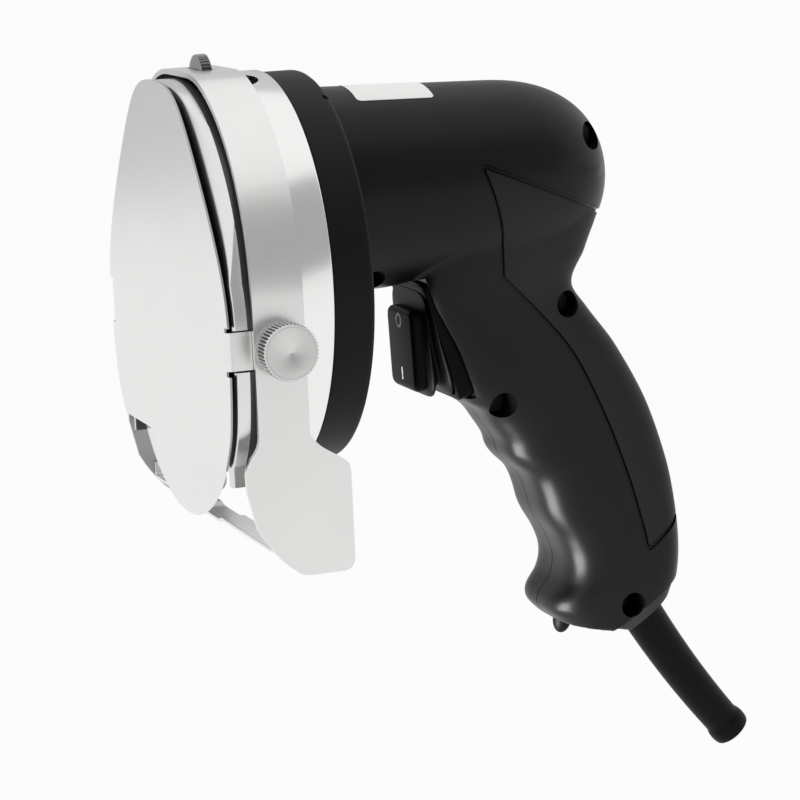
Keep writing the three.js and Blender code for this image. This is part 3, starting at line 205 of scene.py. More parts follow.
# A wall that follows a line of (y, z) places; its section has (inset, x) places
def sweptLoop(place, run, section):
    return [(x, place.x + run.y * inset, place.y - run.x * inset) for inset, x in section]


def swept(name, line, section):
    return skinned(name, [sweptLoop(place, run, section) for place, run in runsOf(line)])


def settled(piece):
    graph = bpy.context.evaluated_depsgraph_get()
    mesh = bpy.data.meshes.new_from_object(piece.evaluated_get(graph))
    old = piece.data
    piece.modifiers.clear()
    piece.data = mesh
    bpy.data.meshes.remove(old)
    return piece


def twin(piece, name):
    other = bpy.data.objects.new(name, piece.data.copy())
    bpy.context.scene.collection.objects.link(other)
    return other


def modified(piece, kind, **settings):
    modifier = piece.modifiers.new(kind, kind)
    for name, value in settings.items():
        setattr(modifier, name, value)


def carved(piece, *tools, how="DIFFERENCE"):
    for tool in tools:
        modified(piece, "BOOLEAN", operation=how, solver="MANIFOLD", object=tool)
    settled(piece)
    for tool in tools:
        bpy.data.objects.remove(tool)
    return piece


def joined(piece, *others):
    return carved(piece, *others, how="UNION")


def softened(piece, width, segments=2, limit=35):
    modified(
        piece, "BEVEL", width=width, segments=segments, limit_method="ANGLE", angle_limit=radians(limit),
        harden_normals=False,
    )
    return settled(piece)


def kept(piece, material, body, hides=(), sharp=30, even=False):
    piece.data.transform(Matrix.Scale(mm, 4))
    piece.data.shade_smooth()
    piece.data.set_sharp_from_angle(angle=radians(sharp))
    if even:  # flat faces stay flat beside their rounded edges
        modified(piece, "WEIGHTED_NORMAL", keep_sharp=True)
        settled(piece)
    piece.data.materials.clear()
    piece.data.materials.append(material)
    if hides:
        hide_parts(*hides)
    if body:
        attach(piece, body)
    return piece


# A second material on the faces that a test picks by place (mm) and normal: another finish, or painted shade or light
def partly(piece, material, chosen):
    piece.data.materials.append(material)
    last = len(piece.data.materials) - 1
    for face in piece.data.polygons:
        if chosen(face.center / mm, face.normal):
            face.material_index = last


def inward(place, normal):
    return normal.dot(Vector((0, place.y, max(place.z, 0))).normalized())


def nodedMaterial(name):
    material = bpy.data.materials.new(name)
    material.use_nodes = True
    return material, material.node_tree


# An input that is given another node's output is linked, any other is set
def fed(tree, node, inputs):
    for socket, value in inputs.items():
        if isinstance(value, bpy.types.NodeSocket):
            tree.links.new(value, node.inputs[socket])
        else:
            node.inputs[socket].default_value = value


def added(tree, kind, inputs, **settings):
    node = tree.nodes.new("ShaderNode" + kind)
    for name, value in settings.items():
        setattr(node, name, value)
    fed(tree, node, inputs)
    return node


# Finishes: grain, streaks and mottling come from noise in object coordinates
def finish(
    name, colour, rough, metal=0.0, specular=0.5, grain=2500, stretch=(1, 1, 1), spread=0.05, tint=0.1,
    bump=0.1, depth=0.00005, mottle=60, lathe=None,
):
    material, tree = nodedMaterial(name)
    place = added(tree, "TexCoord", {}).outputs["Object"]
    drawn = added(tree, "Mapping", {"Scale": stretch, "Vector": place}).outputs["Vector"]
    fine = added(tree, "TexNoise", {"Scale": grain, "Detail": 3, "Vector": drawn}).outputs["Fac"]
    broad = added(tree, "TexNoise", {"Scale": mottle, "Detail": 4, "Vector": place}).outputs["Fac"]
    dark, light = ((*(channel * level for channel in colour), 1) for level in (1 - tint, 1 + tint))
    shades = added(tree, "Mix", {"A": dark, "B": light, "Factor": broad}, data_type="RGBA")
    polish = added(tree, "MapRange", {"To Min": rough - spread, "To Max": rough + spread, "Value": fine})
    relief = added(tree, "Bump", {"Strength": bump, "Distance": depth, "Height": fine})
    surface = {
        "Metallic": metal, "Specular IOR Level": specular, "Base Color": shades.outputs["Result"],
        "Roughness": polish.outputs["Result"], "Normal": relief.outputs["Normal"],
    }
    if lathe:
        centre = Vector(lathe["centre"]) * mm
        centred = added(tree, "VectorMath", {0: place, 1: centre}, operation="SUBTRACT").outputs["Vector"]
        circling = added(tree, "VectorMath", {0: centred, 1: lathe["axis"]}, operation="CROSS_PRODUCT")
        turn = added(
            tree, "VectorTransform", {"Vector": circling.outputs["Vector"]}, convert_from="OBJECT", convert_to="WORLD",
        )
        surface.update({"Anisotropic": lathe["pull"], "Tangent": turn.outputs["Vector"]})
    fed(tree, tree.nodes["Principled BSDF"], surface)
    return material


knobLow, knobHigh = spanOf("side_knob_left")
wheelLow, wheelHigh = spanOf("thickness_wheel")
knobCentre = (knobLow + knobHigh) / 2
wheelCentre = (wheelLow + wheelHigh) / 2

satinSteel = finish(
    "satinSteel", (0.84, 0.84, 0.83), 0.3, 1, grain=1300, stretch=(6, 6, 0.3), bump=0.02, tint=0.025, spread=0.02,
)
brushedSteel = finish(
    "brushedSteel", (0.83, 0.83, 0.82), 0.3, 1, grain=1300, stretch=(0.3, 6, 6), bump=0.02, tint=0.025, spread=0.03,
)
bladeSteel = finish("bladeSteel", (0.8, 0.8, 0.8), 0.24, 1, grain=1200, bump=0.02, tint=0.025, spread=0.02)
# Painted shade: a near-black steel laid on grooves, hollows, knurl valleys and back faces, where shade falls
paintedShadeSteel = finish("paintedShadeSteel", (0.1, 0.1, 0.1), 0.6, 1, bump=0.05, tint=0.1)
panSteel = finish("panSteel", (0.76, 0.76, 0.75), 0.24, 1, bump=0.02, tint=0.05, spread=0.03)
# Painted half shade: a darker steel laid on sheet rims and inner faces that lie in shade
paintedHalfShadeSteel = finish("paintedHalfShadeSteel", (0.44, 0.44, 0.43), 0.42, 1, bump=0.04, tint=0.06)
polishedAluminium = finish(
    "polishedAluminium", (0.88, 0.88, 0.87), 0.21, 1, grain=700, stretch=(5, 0.3, 0.3), bump=0.02, tint=0.02,
    spread=0.03,
)
knobSteel = finish(
    "knobSteel", (0.7, 0.7, 0.69), 0.34, 1, bump=0.03, tint=0.03,
    lathe={"centre": knobCentre, "axis": across, "pull": 0.6},
)
wheelSteel = finish(
    "wheelSteel", (0.36, 0.35, 0.34), 0.3, 1, bump=0.04, tint=0.05,
    lathe={"centre": wheelCentre, "axis": along, "pull": 0.6},
)
zincSteel = finish("zincSteel", (0.42, 0.43, 0.44), 0.38, 1, tint=0.08, bump=0.05)
screwBlack = finish("screwBlack", (0.012, 0.012, 0.013), 0.5, 0.6, tint=0.2)
flangeBlack = finish("flangeBlack", (0.005, 0.005, 0.005), 0.46, specular=0.15, bump=0.14, grain=3200, tint=0.1)
blackPlastic = finish("blackPlastic", (0.003, 0.003, 0.003), 0.35, specular=0.21, bump=0.35, grain=2400, tint=0.1)
# Painted light: a lighter, glossier black for the stepped ring above the boot, standing in for the light its slant
# catches
paintedLightRing = finish("paintedLightRing", (0.02, 0.02, 0.018), 0.5, specular=0.3, bump=0.2, tint=0.15)
# Painted shade: a flat matte black for the inside of the screw wells, where shade falls
paintedWellShade = finish("paintedWellShade", (0.002, 0.002, 0.002), 0.8, specular=0.04, bump=0.1, tint=0.1)
inlayRubber = finish("inlayRubber", (0.0075, 0.0082, 0.0082), 0.5, specular=0.2, bump=0.22, grain=3600, tint=0.12)
blackRubber = finish("blackRubber", (0.0028, 0.0028, 0.0028), 0.46, specular=0.12, bump=0.12, grain=2800, tint=0.12)
rockerBlack = finish("rockerBlack", (0.003, 0.003, 0.003), 0.42, specular=0.07, bump=0.06, grain=3000, tint=0.1)
whitePrint = finish("whitePrint", (0.92, 0.92, 0.9), 0.6, bump=0.03, tint=0.04)
labelPaper = finish("labelPaper", (0.8, 0.8, 0.79), 0.55, bump=0.03, tint=0.02, mottle=90)
acetal = finish("acetal", (0.7, 0.68, 0.62), 0.4, tint=0.05)
ironCore = finish("ironCore", (0.12, 0.12, 0.13), 0.55, 0.6, stretch=(8, 0.3, 0.3), grain=600, tint=0.15)
copper = finish("copper", (0.65, 0.36, 0.2), 0.3, 1, stretch=(6, 0.4, 0.4), grain=900, tint=0.08)
carbon = finish("carbon", (0.04, 0.04, 0.04), 0.7, tint=0.2)
boardGreen = finish("boardGreen", (0.05, 0.2, 0.09), 0.35, tint=0.15, mottle=400)
print("finishes made")

# Front plate: an egg-shaped sheet with a tab bent back on each side
plateHigh = spanOf("front_plate")[1]
plate = dict(
    sheet=0.6, edge=0.12, bend=1.7, lap=8, tabHalf=5.35, relief=1.4, reliefX=(-2, 4), steps=14, hole=2.3,
    tabZ=knobCentre.z, tabOuter=59.6,
    ins=(10, 3.3, 0.9, 4, 20.2, 41), downs=(105.2, 93.2, 71.2, 52.2, 26.7, 4.4),
)


def eggLine(inset=0.0, footDrop=0.0):
    half = [Vector((plateHigh.y - a, plateHigh.z - d)) for a, d in zip(plate["ins"], plate["downs"])]
    left = [Vector((-p.x, p.y)) for p in half]
    line = smooth(left + [Vector((0, plateHigh.z))] + half[::-1], plate["steps"])
    if footDrop:
        foot = Vector((0, footDrop))
        line = [line[0] - foot] + line + [line[-1] - foot]
    return [point + Vector((run.y, -run.x)) * inset for point, run in runsOf(line)]


def makePlate():
    thick, bend, rear = plate["sheet"], plate["bend"], plateHigh.x
    sheet = prism("front_plate_sheet", [(0, p.x, p.y) for p in eggLine()], along * thick)
    top, foot = plate["tabZ"] + plate["tabHalf"], plate["tabZ"] - plate["tabHalf"]
    outer, inner = plate["tabOuter"], plate["tabOuter"] - thick
    lap, gap = inner - plate["lap"], plate["relief"]
    front, back = plate["reliefX"]
    for side in (-1, 1):
        relief = block("relief", (front, outer - bend, foot - gap), (back, beyond, top + gap))
        line = eased([(0, lap), (0, outer), (rear, outer)], bend, 6, closed=False)
        line += eased([(rear, inner), (thick, inner), (thick, lap)], bend - thick, 4, closed=False)
        tab = prism("tab", [(p.x, p.y, foot) for p in line], upward * (top - foot))
        for tool in (relief, tab):
            if side < 0:
                tool.data.transform(Matrix.Scale(-1, 4, across))
                tool.data.flip_normals()
        carved(sheet, relief)
        joined(sheet, tab)
    centre = Vector((knobCentre.x, 0, plate["tabZ"]))
    carved(sheet, rod("hole", plate["hole"], centre - across * beyond, centre + across * beyond))
    softened(sheet, plate["edge"])
    kept(sheet, satinSteel, "handle", ["front_plate"], 60, even=True)
    # painted shade: the plate's back faces take near-black steel, as they lie in shadow
    partly(sheet, paintedShadeSteel, lambda place, normal: normal.x > 0.5)
    # painted shade: the sheet's rim faces away from the tabs take a darker steel, beside the dark gap to the pan
    partly(sheet, paintedHalfShadeSteel, lambda place, normal: (
        abs(normal.x) < 0.5 and place.x < thick and abs(place.z - plate["tabZ"]) > plate["tabHalf"]
    ))


makePlate()

# Knife: a dished disc with a ground bevel
bladeLow, bladeHigh = spanOf("blade")
knife = dict(hubRadius=22, groundRadius=28, thickness=1.5, bore=3.2, land=0.6, edgeHalf=0.08)


def makeKnife():
    radius, thick, edge = bladeHigh.y, knife["thickness"], knife["edgeHalf"]
    rim, back = bladeLow.x, bladeHigh.x
    hub, middle = back - thick, rim + thick / 2
    bore, flat, ground = knife["bore"], knife["hubRadius"], knife["groundRadius"]
    profile = eased([
        (hub, bore), (hub, flat), (rim, ground), (middle - edge, radius), (middle + edge, radius),
        (rim + thick, ground), (back, flat), (back, bore),
    ], knife["land"], 3)
    disc = turned("knife", profile + profile[:1], (0, 0, (bladeLow.z + bladeHigh.z) / 2), along, fineSteps)
    kept(disc, bladeSteel, "blade_spindle", ["blade"])


makeKnife()

# Drum: polished casting with the pan's skirt in front, a wheel pocket under the band and a round hole behind it
drumHigh = spanOf("drum_housing")[1]
drum = dict(
    radius=58.0, wall=3, frontX=11.0, frontWall=3.0, edge=0.5, inset=0.9, panWall=2.0, panRadius=57.2, panLap=0.4,
    lip=0.9, lipGap=1.3, tabGap=0.5, grooveX=(6.0, 8.2), footDrop=5.2, flareDepth=0.7, deepest=8.0,
    lipAngle=radians(45), topZ=57.8, topRearX=25.6, topHalf=30, cutTopZ=80, spindleHole=9.6, bladeZ=-15.0,
    bossRadius=5.5, bossInner=47, bossOuter=58.3, shankInner=40, pocketHalf=8.0, pocketFloorZ=48.4,
    pocketX=(9.2, 20.2), holeRadius=5.4, holeX=22.3, holeAngle=radians(-12.5), holeDepth=4.5, holeOut=9,
)


def makePan():
    front, wall, lip = plate["sheet"] + drum["lipGap"], drum["panWall"] + drum["lip"], drum["lip"]
    lap, first = drum["panLap"], drum["lipAngle"]
    rear = drum["frontX"] + lap
    loops = []
    for place, run in runsOf(eggLine(drum["inset"], drum["footDrop"])):
        flare = max(0, drum["panRadius"] - place.length)
        depth = min(lip + drum["flareDepth"] * flare, drum["deepest"])
        section = [(wall, rear), (wall, front + lap), (wall - lap, front)]
        split = acos(cos(first) * max(0, 1 - (drum["grooveX"][0] - front) / depth))  # where the groove starts
        turns = [first + (split - first) * k / 12 for k in range(13)]
        turns += [split + (pi / 2 - split) * k / 4 for k in range(1, 5)]
        # tiny steps keep neighbouring places apart
        for k, a in enumerate(turns):
            out, back = (sin(a) - sin(first)) / (1 - sin(first)), 1 - cos(a) / cos(first)
            section.append((lip - (flare + lip) * out, front + depth * back + 0.003 * k))
        section += [(-flare, max(x, front + depth) + 0.05 + 0.02 * k) for k, x in enumerate(drum["grooveX"])]
        loops.append(sweptLoop(place, run, section + [(-flare, rear)]))
    return skinned("pan", loops)


def makeDrum():
    radius, front, rear, edge = drum["radius"], drum["frontX"], drumHigh.x, drum["edge"]
    inner, cavity = radius - drum["wall"], front + drum["frontWall"]
    shell = turned("drum_casting", [
        (front, 0), (front, radius - edge), (front + edge, radius), (rear - edge, radius),
        (rear - edge * 0.3, radius - edge * 0.3), (rear, radius - edge), (rear, inner), (cavity, inner), (cavity, 0),
    ], (0, 0, 0), along, fineSteps)
    joined(shell, makePan())
    centre, gap = Vector((knobCentre.x, 0, knobCentre.z)), drum["tabGap"]
    tabHalf, tabInner = plate["tabHalf"] + gap, plate["tabOuter"] - plate["sheet"] - gap
    for side in (-1, 1):
        low, high = sorted((side * tabInner, side * beyond))
        carved(shell, block("tabPocket", (0, low, centre.z - tabHalf), (plateHigh.x + gap, high, centre.z + tabHalf)))
        reaches = (drum["bossInner"], drum["bossOuter"], drum["shankInner"], beyond)
        start, end, deep, far = (centre + across * side * reach for reach in reaches)
        joined(shell, rod("boss", drum["bossRadius"], start, end))
        carved(shell, rod("shank", plate["hole"], deep, far))
    spindle = Vector((0, 0, drum["bladeZ"]))
    wide, half, top = drum["topHalf"], drum["pocketHalf"], drum["cutTopZ"]
    pocketFront, pocketRear = drum["pocketX"]
    outward = Vector((0, sin(drum["holeAngle"]), cos(drum["holeAngle"])))
    spot = along * drum["holeX"] + outward * radius
    carved(
        shell,
        rod("spindleHole", drum["spindleHole"], spindle, spindle + along * (cavity + 1)),
        block("topFlat", (0, -wide, drum["topZ"]), (drum["topRearX"], wide, top)),
        block("pocket", (pocketFront, -half, drum["pocketFloorZ"]), (pocketRear, half, top)),
        rod("roundHole", drum["holeRadius"], spot - outward * drum["holeDepth"], spot + outward * drum["holeOut"]),
    )
    kept(shell, polishedAluminium, "handle", ["drum_housing"])
    grooveFront, grooveRear = drum["grooveX"]
    partly(shell, panSteel, lambda place, normal: place.x < front - 0.1)
    # painted shade: the groove behind the pan's crest, the cavity's inner faces and the front wall behind the pan take
    # near-black steel
    partly(shell, paintedShadeSteel, lambda place, normal: grooveFront < place.x < grooveRear or place.x < cavity and (
        inward(place, normal) < -0.3 or normal.x < -0.9 and place.x > front - 0.5
    ))


makeDrum()
print("plate, knife and drum made")

# Flange: black moulding behind the drum
flangeLow = spanOf("head_flange")[0]
flange = dict(
    radius=57.2, frontX=32.5, rearX=44.7, edge=2.0, frontEdge=0.4, webX=36.0, spigot=54.7, spigotInner=51.7,
    seatRadius=13.15, seatEndX=44.3, noseRadius=12.0, motorZ=21.25, screwRing=21.0, screwHole=1.8,
    screwAngles=(30, 90, 150), notchAngle=radians(-27), notchRadius=1.1, notchSink=0.3, notchX=(42.5, 49.7),
)


def makeFlange():
    radius, rear, front, web = flange["radius"], flange["rearX"], flange["frontX"], flange["webX"]
    spigot, inner, ease = flange["spigot"], flange["spigotInner"], flange["frontEdge"]
    rim = eased([(front, radius), (rear, radius), (rear, 0)], flange["edge"], 8, closed=False)[1:]
    body = turned("flange_moulding", [
        (web, 0), (web, inner), (flangeLow.x, inner), (flangeLow.x, spigot), (front, spigot),
        (front, radius - ease), (front + ease, radius), *rim,
    ], (0, 0, 0), along, fineSteps)
    seat, motor = Vector((0, 0, drum["bladeZ"])), Vector((0, 0, flange["motorZ"]))
    angle, (notchFront, notchRear) = flange["notchAngle"], flange["notchX"]
    notch = Vector((0, sin(angle), cos(angle))) * (radius - flange["notchSink"])
    tools = [
        rod("seat", flange["seatRadius"], seat, seat + along * flange["seatEndX"]),
        rod("nose", flange["noseRadius"], motor, motor + along * beyond),
        rod("notch", flange["notchRadius"], notch + along * notchFront, notch + along * notchRear),
    ]
    for angle in flange["screwAngles"]:
        place = motor + Vector((0, cos(radians(angle)), sin(radians(angle)))) * flange["screwRing"]
        tools.append(rod("screw", flange["screwHole"], place, place + along * beyond, coarseSteps))
    carved(body, *tools)
    kept(body, flangeBlack, "handle", ["head_flange"])


makeFlange()

# Guard: sheet band over the drum with a flat for the wheel, two necks and two paddles
guardLow, guardHigh = spanOf("guard_frame")
guard = dict(
    sheet=1.5, frontX=7.2, rearX=22.0, flatHalf=15.2, flatEase=6.0, neckZ=-40.5, shoulderZ=-48.0, flare=5.0,
    flareEase=3, ease=2.0, corner=4.5, edge=0.32, sweepBacks=(2.7, 5.3, 9.5, 14.2, 17),
    sweepUps=(14.6, 10.3, 4.9, 0.9, 0), slotHalf=3.0, slotRadius=2.3, slotSteps=16, wheelSlotX=(12.5, 16.7),
    wheelSlotHalf=7.4, wheelSlotZ=30, arcSteps=48,
)


def paddleLine():
    front, rear, foot = guardLow.x, guardHigh.x, guardLow.z
    ease, neck, shoulder = guard["ease"], guard["neckZ"], guard["shoulderZ"]
    bandFront, bandRear = guard["frontX"], guard["rearX"]
    sweep = smooth([(front + b, foot + u) for b, u in zip(guard["sweepBacks"], guard["sweepUps"])], 6)
    corner = eased([(rear - 8, foot), (rear, foot), (rear, foot + 8)], guard["corner"], 8, closed=False)[1:-1]
    slope = smooth([
        (rear, shoulder - ease), (rear - ease * 0.6, shoulder + ease * 0.6),
        (bandRear + ease * 1.6, neck - ease * 0.8), (bandRear, neck + ease),
    ], 6)
    flare = [(bandFront, neck + 6), (bandFront, neck), (front, neck - guard["flare"]), (front + 0.2, neck - 12)]
    return [
        Vector((bandFront, knobCentre.z)), *eased(flare, guard["flareEase"], 5, closed=False),
        *sweep, *corner, *slope, Vector((bandRear, knobCentre.z)),
    ]


def makeGuard():
    radius, flat, sheet = guardHigh.y, guard["flatHalf"], guard["sheet"]
    start, ease = asin(flat / radius), guard["flatEase"]
    first, steps = start + ease / radius, guard["arcSteps"]
    angles = [first + (pi / 2 - first) * k / steps for k in range(steps + 1)]
    arc = [Vector((radius * sin(a), radius * cos(a))) for a in angles]
    crease = Vector((flat, radius * cos(start)))
    leg = 2.1  # legs over twice as long as the ease leave it whole
    bend = eased([crease - Vector((leg * ease, 0)), crease, crease + (arc[0] - crease) * leg], ease, 10, closed=False)
    half = bend[1:-1] + arc[1:] + [Vector((radius, guard["neckZ"]))]
    line = [Vector((-p.x, p.y)) for p in half[::-1]] + half
    front, rear = guard["frontX"], guard["rearX"]
    band = swept("guard_sheet", line, [(0, front), (sheet, front), (sheet, rear), (0, rear)])
    for side in (-1, 1):
        outline = [(p.x, side * (radius - sheet), p.y) for p in paddleLine()]
        joined(band, prism("paddle", outline, across * side * sheet))
    slot, size, steps = [], guard["slotRadius"], guard["slotSteps"]
    for i, side in enumerate((-1, 1)):
        end = knobCentre + along * side * guard["slotHalf"]
        for k in range(steps + 1):
            angle = pi / 2 + pi * i + pi * k / steps
            slot.append((end.x + size * cos(angle), -beyond, end.z + size * sin(angle)))
    (front, rear), wide = guard["wheelSlotX"], guard["wheelSlotHalf"]
    carved(
        band,
        prism("knobSlot", slot, across * 2 * beyond),
        block("wheelSlot", (front, -wide, guard["wheelSlotZ"]), (rear, wide, beyond)),
    )
    softened(band, guard["edge"])
    kept(band, brushedSteel, "guard", ["guard_frame"], 60, even=True)
    # painted shade: the band's inner faces towards the drum take darker steel below the axis and near-black steel above
    # it
    partly(band, paintedHalfShadeSteel, lambda place, normal: inward(place, normal) < -0.6 and place.z < 0)
    partly(band, paintedShadeSteel, lambda place, normal: inward(place, normal) < -0.6 and place.z >= 0)


makeGuard()

# Cross strip: a bent flat between the paddles, stepped up at its ends
stripLow, stripHigh = spanOf("cross_strip")
strip = dict(sheet=1.0, bend=2.2, stepIn=48.5, stepRun=2.5, stepRise=0.9, edge=0.15)


def makeStrip():
    outer, foot, top = stripHigh.y, stripLow.z, stripHigh.z
    rise, step = strip["stepRise"], outer - strip["stepIn"]
    half = [(step - strip["stepRun"], foot), (step, foot + rise), (outer, foot + rise), (outer, top)]
    corners = [(-y, z) for y, z in half[::-1]] + half
    line = eased(corners, strip["bend"], 6, closed=False)
    front, rear, sheet = stripLow.x, stripHigh.x, strip["sheet"]
    piece = swept("cross_strip_flat", line, [(0, front), (-sheet, front), (-sheet, rear), (0, rear)])
    softened(piece, strip["edge"])
    kept(piece, brushedSteel, "guard", ["cross_strip"], 60, even=True)


makeStrip()
print("flange and guard made")

# Side knobs: straight knurl, turned face with a thin groove, plain collar under each
knob = dict(
    radius=8.1, knurls=48, depth=0.55, seat=63.5, chamfer=0.5, shank=2.0, shankEnd=49.6, groove=0.85, mark=0.4,
    face=70.1,
)


# Rings of (height, radius, share of the knurl's depth)
def knurled(rings, values, placed):
    turns = turnsOf(4 * values["knurls"])
    loops = []
    for height, radius, share in rings:
        loop = []
        for i, turn in enumerate(turns):
            size = radius - values["depth"] * (0, 0.6, 1, 0.6)[i % 4] * share
            loop.append(placed(height, size * cos(turn), size * sin(turn)))
        loops.append(loop)
    return loops


collar = dict(radius=7.3, inner=61.7, outer=63.2, bore=2.3, edge=0.3)


def makeKnob(side, suffix):
    radius, seat, face, chamfer = knob["radius"], knob["seat"], knob["face"], knob["chamfer"]
    rim, mark = radius - knob["groove"], knob["mark"]
    rings = [
        (seat, radius - 0.6, 0), (seat + 0.25, radius - 0.1, 1), (face - chamfer, radius, 1),
        (face - chamfer * 0.35, radius - 0.3, 0.2), (face, radius - 0.62, 0), (face, rim, 0),
        (face - 0.1, rim - 0.05, 0), (face - 0.1, rim - 0.12, 0), (face, rim - 0.17, 0),
        (face + 0.02, mark + 0.1, 0), (face - 0.02, mark, 0), (face - 0.03, mark * 0.3, 0),
    ]
    loops = knurled(rings, knob, lambda y, x, z: (knobCentre.x + x, side * y, knobCentre.z + z))
    head = skinned("side_knob_head_" + suffix, loops)
    axis, aim = Vector((knobCentre.x, 0, knobCentre.z)), across * side
    joined(head, rod("shank", knob["shank"], axis + aim * knob["shankEnd"], axis + aim * (seat + 1)))
    kept(head, knobSteel, "knob_" + suffix, ["side_knob_" + suffix], 25)
    # painted shade: the valleys of the knurl take near-black steel
    partly(head, paintedShadeSteel, lambda place, normal: (
        abs(place.y) < face - chamfer and abs(normal.y) < 0.5
        and collar["radius"] < hypot(place.x - knobCentre.x, place.z - knobCentre.z) < radius - knob["depth"] * 0.5
    ))


def makeCollar(side, suffix):
    bore, radius, inner, outer = collar["bore"], collar["radius"], collar["inner"], collar["outer"]
    profile = eased([(inner, bore), (inner, radius), (outer, radius), (outer, bore)], collar["edge"], 3)
    centre = (knobCentre.x, 0, knobCentre.z)
    ring = turned("knob_collar_ring_" + suffix, profile + profile[:1], centre, across * side)
    kept(ring, knobSteel, "collar_" + suffix, ["knob_collar_" + suffix])


for side, suffix in bothSides:
    makeKnob(side, suffix)
    makeCollar(side, suffix)

# Thickness wheel: knurled rim and a shallow hollow face
wheel = dict(radius=7.4, knurls=40, depth=0.6, bore=1.55, chamfer=0.25, cone=0.45, hub=5.6)


def makeWheel():
    radius, hub, front, rear = wheel["radius"], wheel["hub"], wheelLow.x, wheelHigh.x
    cone, bore = wheel["cone"], wheel["bore"]
    rings = [
        (front + 0.3, bore, 0), (front, hub, 0), (front + 0.15, radius - 0.8, 0), (front + cone, radius - 0.1, 1),
        (rear - wheel["chamfer"], radius, 1), (rear, radius - 0.7, 0), (rear, bore, 0),
    ]
    loops = knurled(rings, wheel, lambda x, y, z: (x, y, wheelCentre.z + z))
    disc = skinned("thickness_wheel_disc", loops, closed=True)
    kept(disc, wheelSteel, "thickness_wheel", ["thickness_wheel"], 25)
    # painted shade: the valleys of the wheel's knurl take near-black steel
    partly(disc, paintedShadeSteel, lambda place, normal: (
        abs(normal.x) < 0.5 and hub < hypot(place.y, place.z - wheelCentre.z) < radius - wheel["depth"] * 0.5
    ))


makeWheel()
print("knobs and wheel made")

# Handle: barrel and grip drawn as one skin, then hollowed, opened for the switch and parted down the middle
handle = dict(
    axisZ=21.25, frontX=45.0, radius=30.7, taper=0.032, noseX=102.0, rearX=137.4, nosePower=2.4, sides=96, topZ=24.0,
    footZ=-126.0, levels=120, voxel=0.8, rounds=8, rearPower=3.6, pinch=0.14, wall=3.2, coreVoxel=1.6, meet=0.02,
    seam=0.18, seamDepth=0.9, frontBore=27.4, canRadius=21.4, canSpan=(46, 116), below=-220, above=120, behind=220,
)
gripFront = [
    (68, 24), (70.5, 0), (72.5, -8), (84.6, -38), (88.6, -44.5), (93.6, -48.2), (96.9, -53), (100.4, -58.6),
    (101.2, -62), (103.6, -65.4), (107.6, -69.4), (110, -75), (111.4, -80.5), (112.9, -84), (116.4, -90),
    (118.6, -97), (117.2, -103.5), (113.2, -108.6), (112.9, -112), (116.5, -116),
]
gripRear = [
    (135, 24), (133.8, 11), (129, -0.6), (124.4, -11), (129.3, -19), (138.8, -32), (148.9, -52), (155.6, -78),
    (156, -104), (149, -122),
]
gripHalf = [(27, 24), (22.5, 2), (18.5, -16), (18, -45), (19.2, -78), (19.6, -105), (18, -122)]
gripPower = [(3.2, 24), (3.4, 0), (5.5, -14), (5.5, -40), (5.4, -50), (5.4, -104), (4.4, -112), (4.4, -122)]
base = dict(place=Vector((107, 0, -114.3)), tilt=radians(11.9))
baseDown = Vector((-sin(base["tilt"]), 0, -cos(base["tilt"])))
baseAlong = Vector((cos(base["tilt"]), 0, -sin(base["tilt"])))
boot = dict(
    start=Vector((149, 0, -121)), control=Vector((161.9, 0, -142.4)), end=Vector((178, 0, -161.5)), rootRadius=6.5,
    tipRadius=5.7, beadRadius=6.4, beadStart=0.9, socketRadius=3.6, socketDepth=3.0, seat=6.5, flange=2.2,
    flangeRadius=7.6, gap=0.3, cutBack=11.2, ringBack=7.6, ringIn=0.8, slab=40, boreSpan=(-14, 6),
)
screws = dict(
    places=((58.2, -5), (129, 32.8), (119.7, -16.9), (97.8, -45.5), (137, -111.4)), boss=5.8, well=4.0, start=70,
    seat=6.0, shank=1.8, bite=10.3,
)
mouth = dict(
    top=Vector((76.9, 0, -5)), foot=Vector((90.2, 0, -43.5)), rim=2.2, flatTop=21.0, flatFoot=20.6, halfLength=19.5,
    halfWidth=16.4, pocketLength=15.3, pocketWidth=11.8, pocketDepth=20.2,
)
faceDown = (mouth["foot"] - mouth["top"]).normalized()
faceOut = Vector((faceDown.z, 0, -faceDown.x))
faceMiddle = (mouth["top"] + mouth["foot"]) / 2


def onFace(down, side, out):
    return faceMiddle + faceDown * down + across * side + faceOut * out


def faceBlock(name, downs, half, outs):
    corners = ((downs[0], -half), (downs[1], -half), (downs[1], half), (downs[0], half))
    return prism(name, [onFace(down, side, outs[0]) for down, side in corners], faceOut * (outs[1] - outs[0]))


def barrelRadius(x):
    return handle["radius"] - handle["taper"] * (x - handle["frontX"])


def barrelLoops():
    front, nose, rear, power = handle["frontX"], handle["noseX"], handle["rearX"], handle["nosePower"]
    stations = [front + (nose - front) * k / 10 for k in range(11)]
    stations += [nose + (rear - nose) * sin(pi / 2 * 0.985 * k / 24) for k in range(1, 25)]
    loops = []
    for x in stations:
        t = max(0, (x - nose) / (rear - nose))
        radius = barrelRadius(x) * (1 - t ** power) ** (1 / power)
        loops.append([(x, radius * cos(a), handle["axisZ"] + radius * sin(a)) for a in turnsOf(handle["sides"])])
    return loops


def gripLoops():
    levels = handle["levels"]
    loops = []
    for k in range(levels + 1):
        z = handle["topZ"] + (handle["footZ"] - handle["topZ"]) * k / levels
        front, rear, half, power = (valueAt(pairs, z) for pairs in (gripFront, gripRear, gripHalf, gripPower))
        loop = []
        for turn in turnsOf(handle["sides"]):
            u, v = oblong(turn, power if cos(turn) < 0 else min(power, handle["rearPower"]))
            narrow = 1 - handle["pinch"] * max(0, -u) ** 3 * valueAt([(0, -40), (1, -52)], z)
            loop.append(((front + rear) / 2 + u * (rear - front) / 2, v * half * narrow, z))
        loops.append(loop)
    return loops


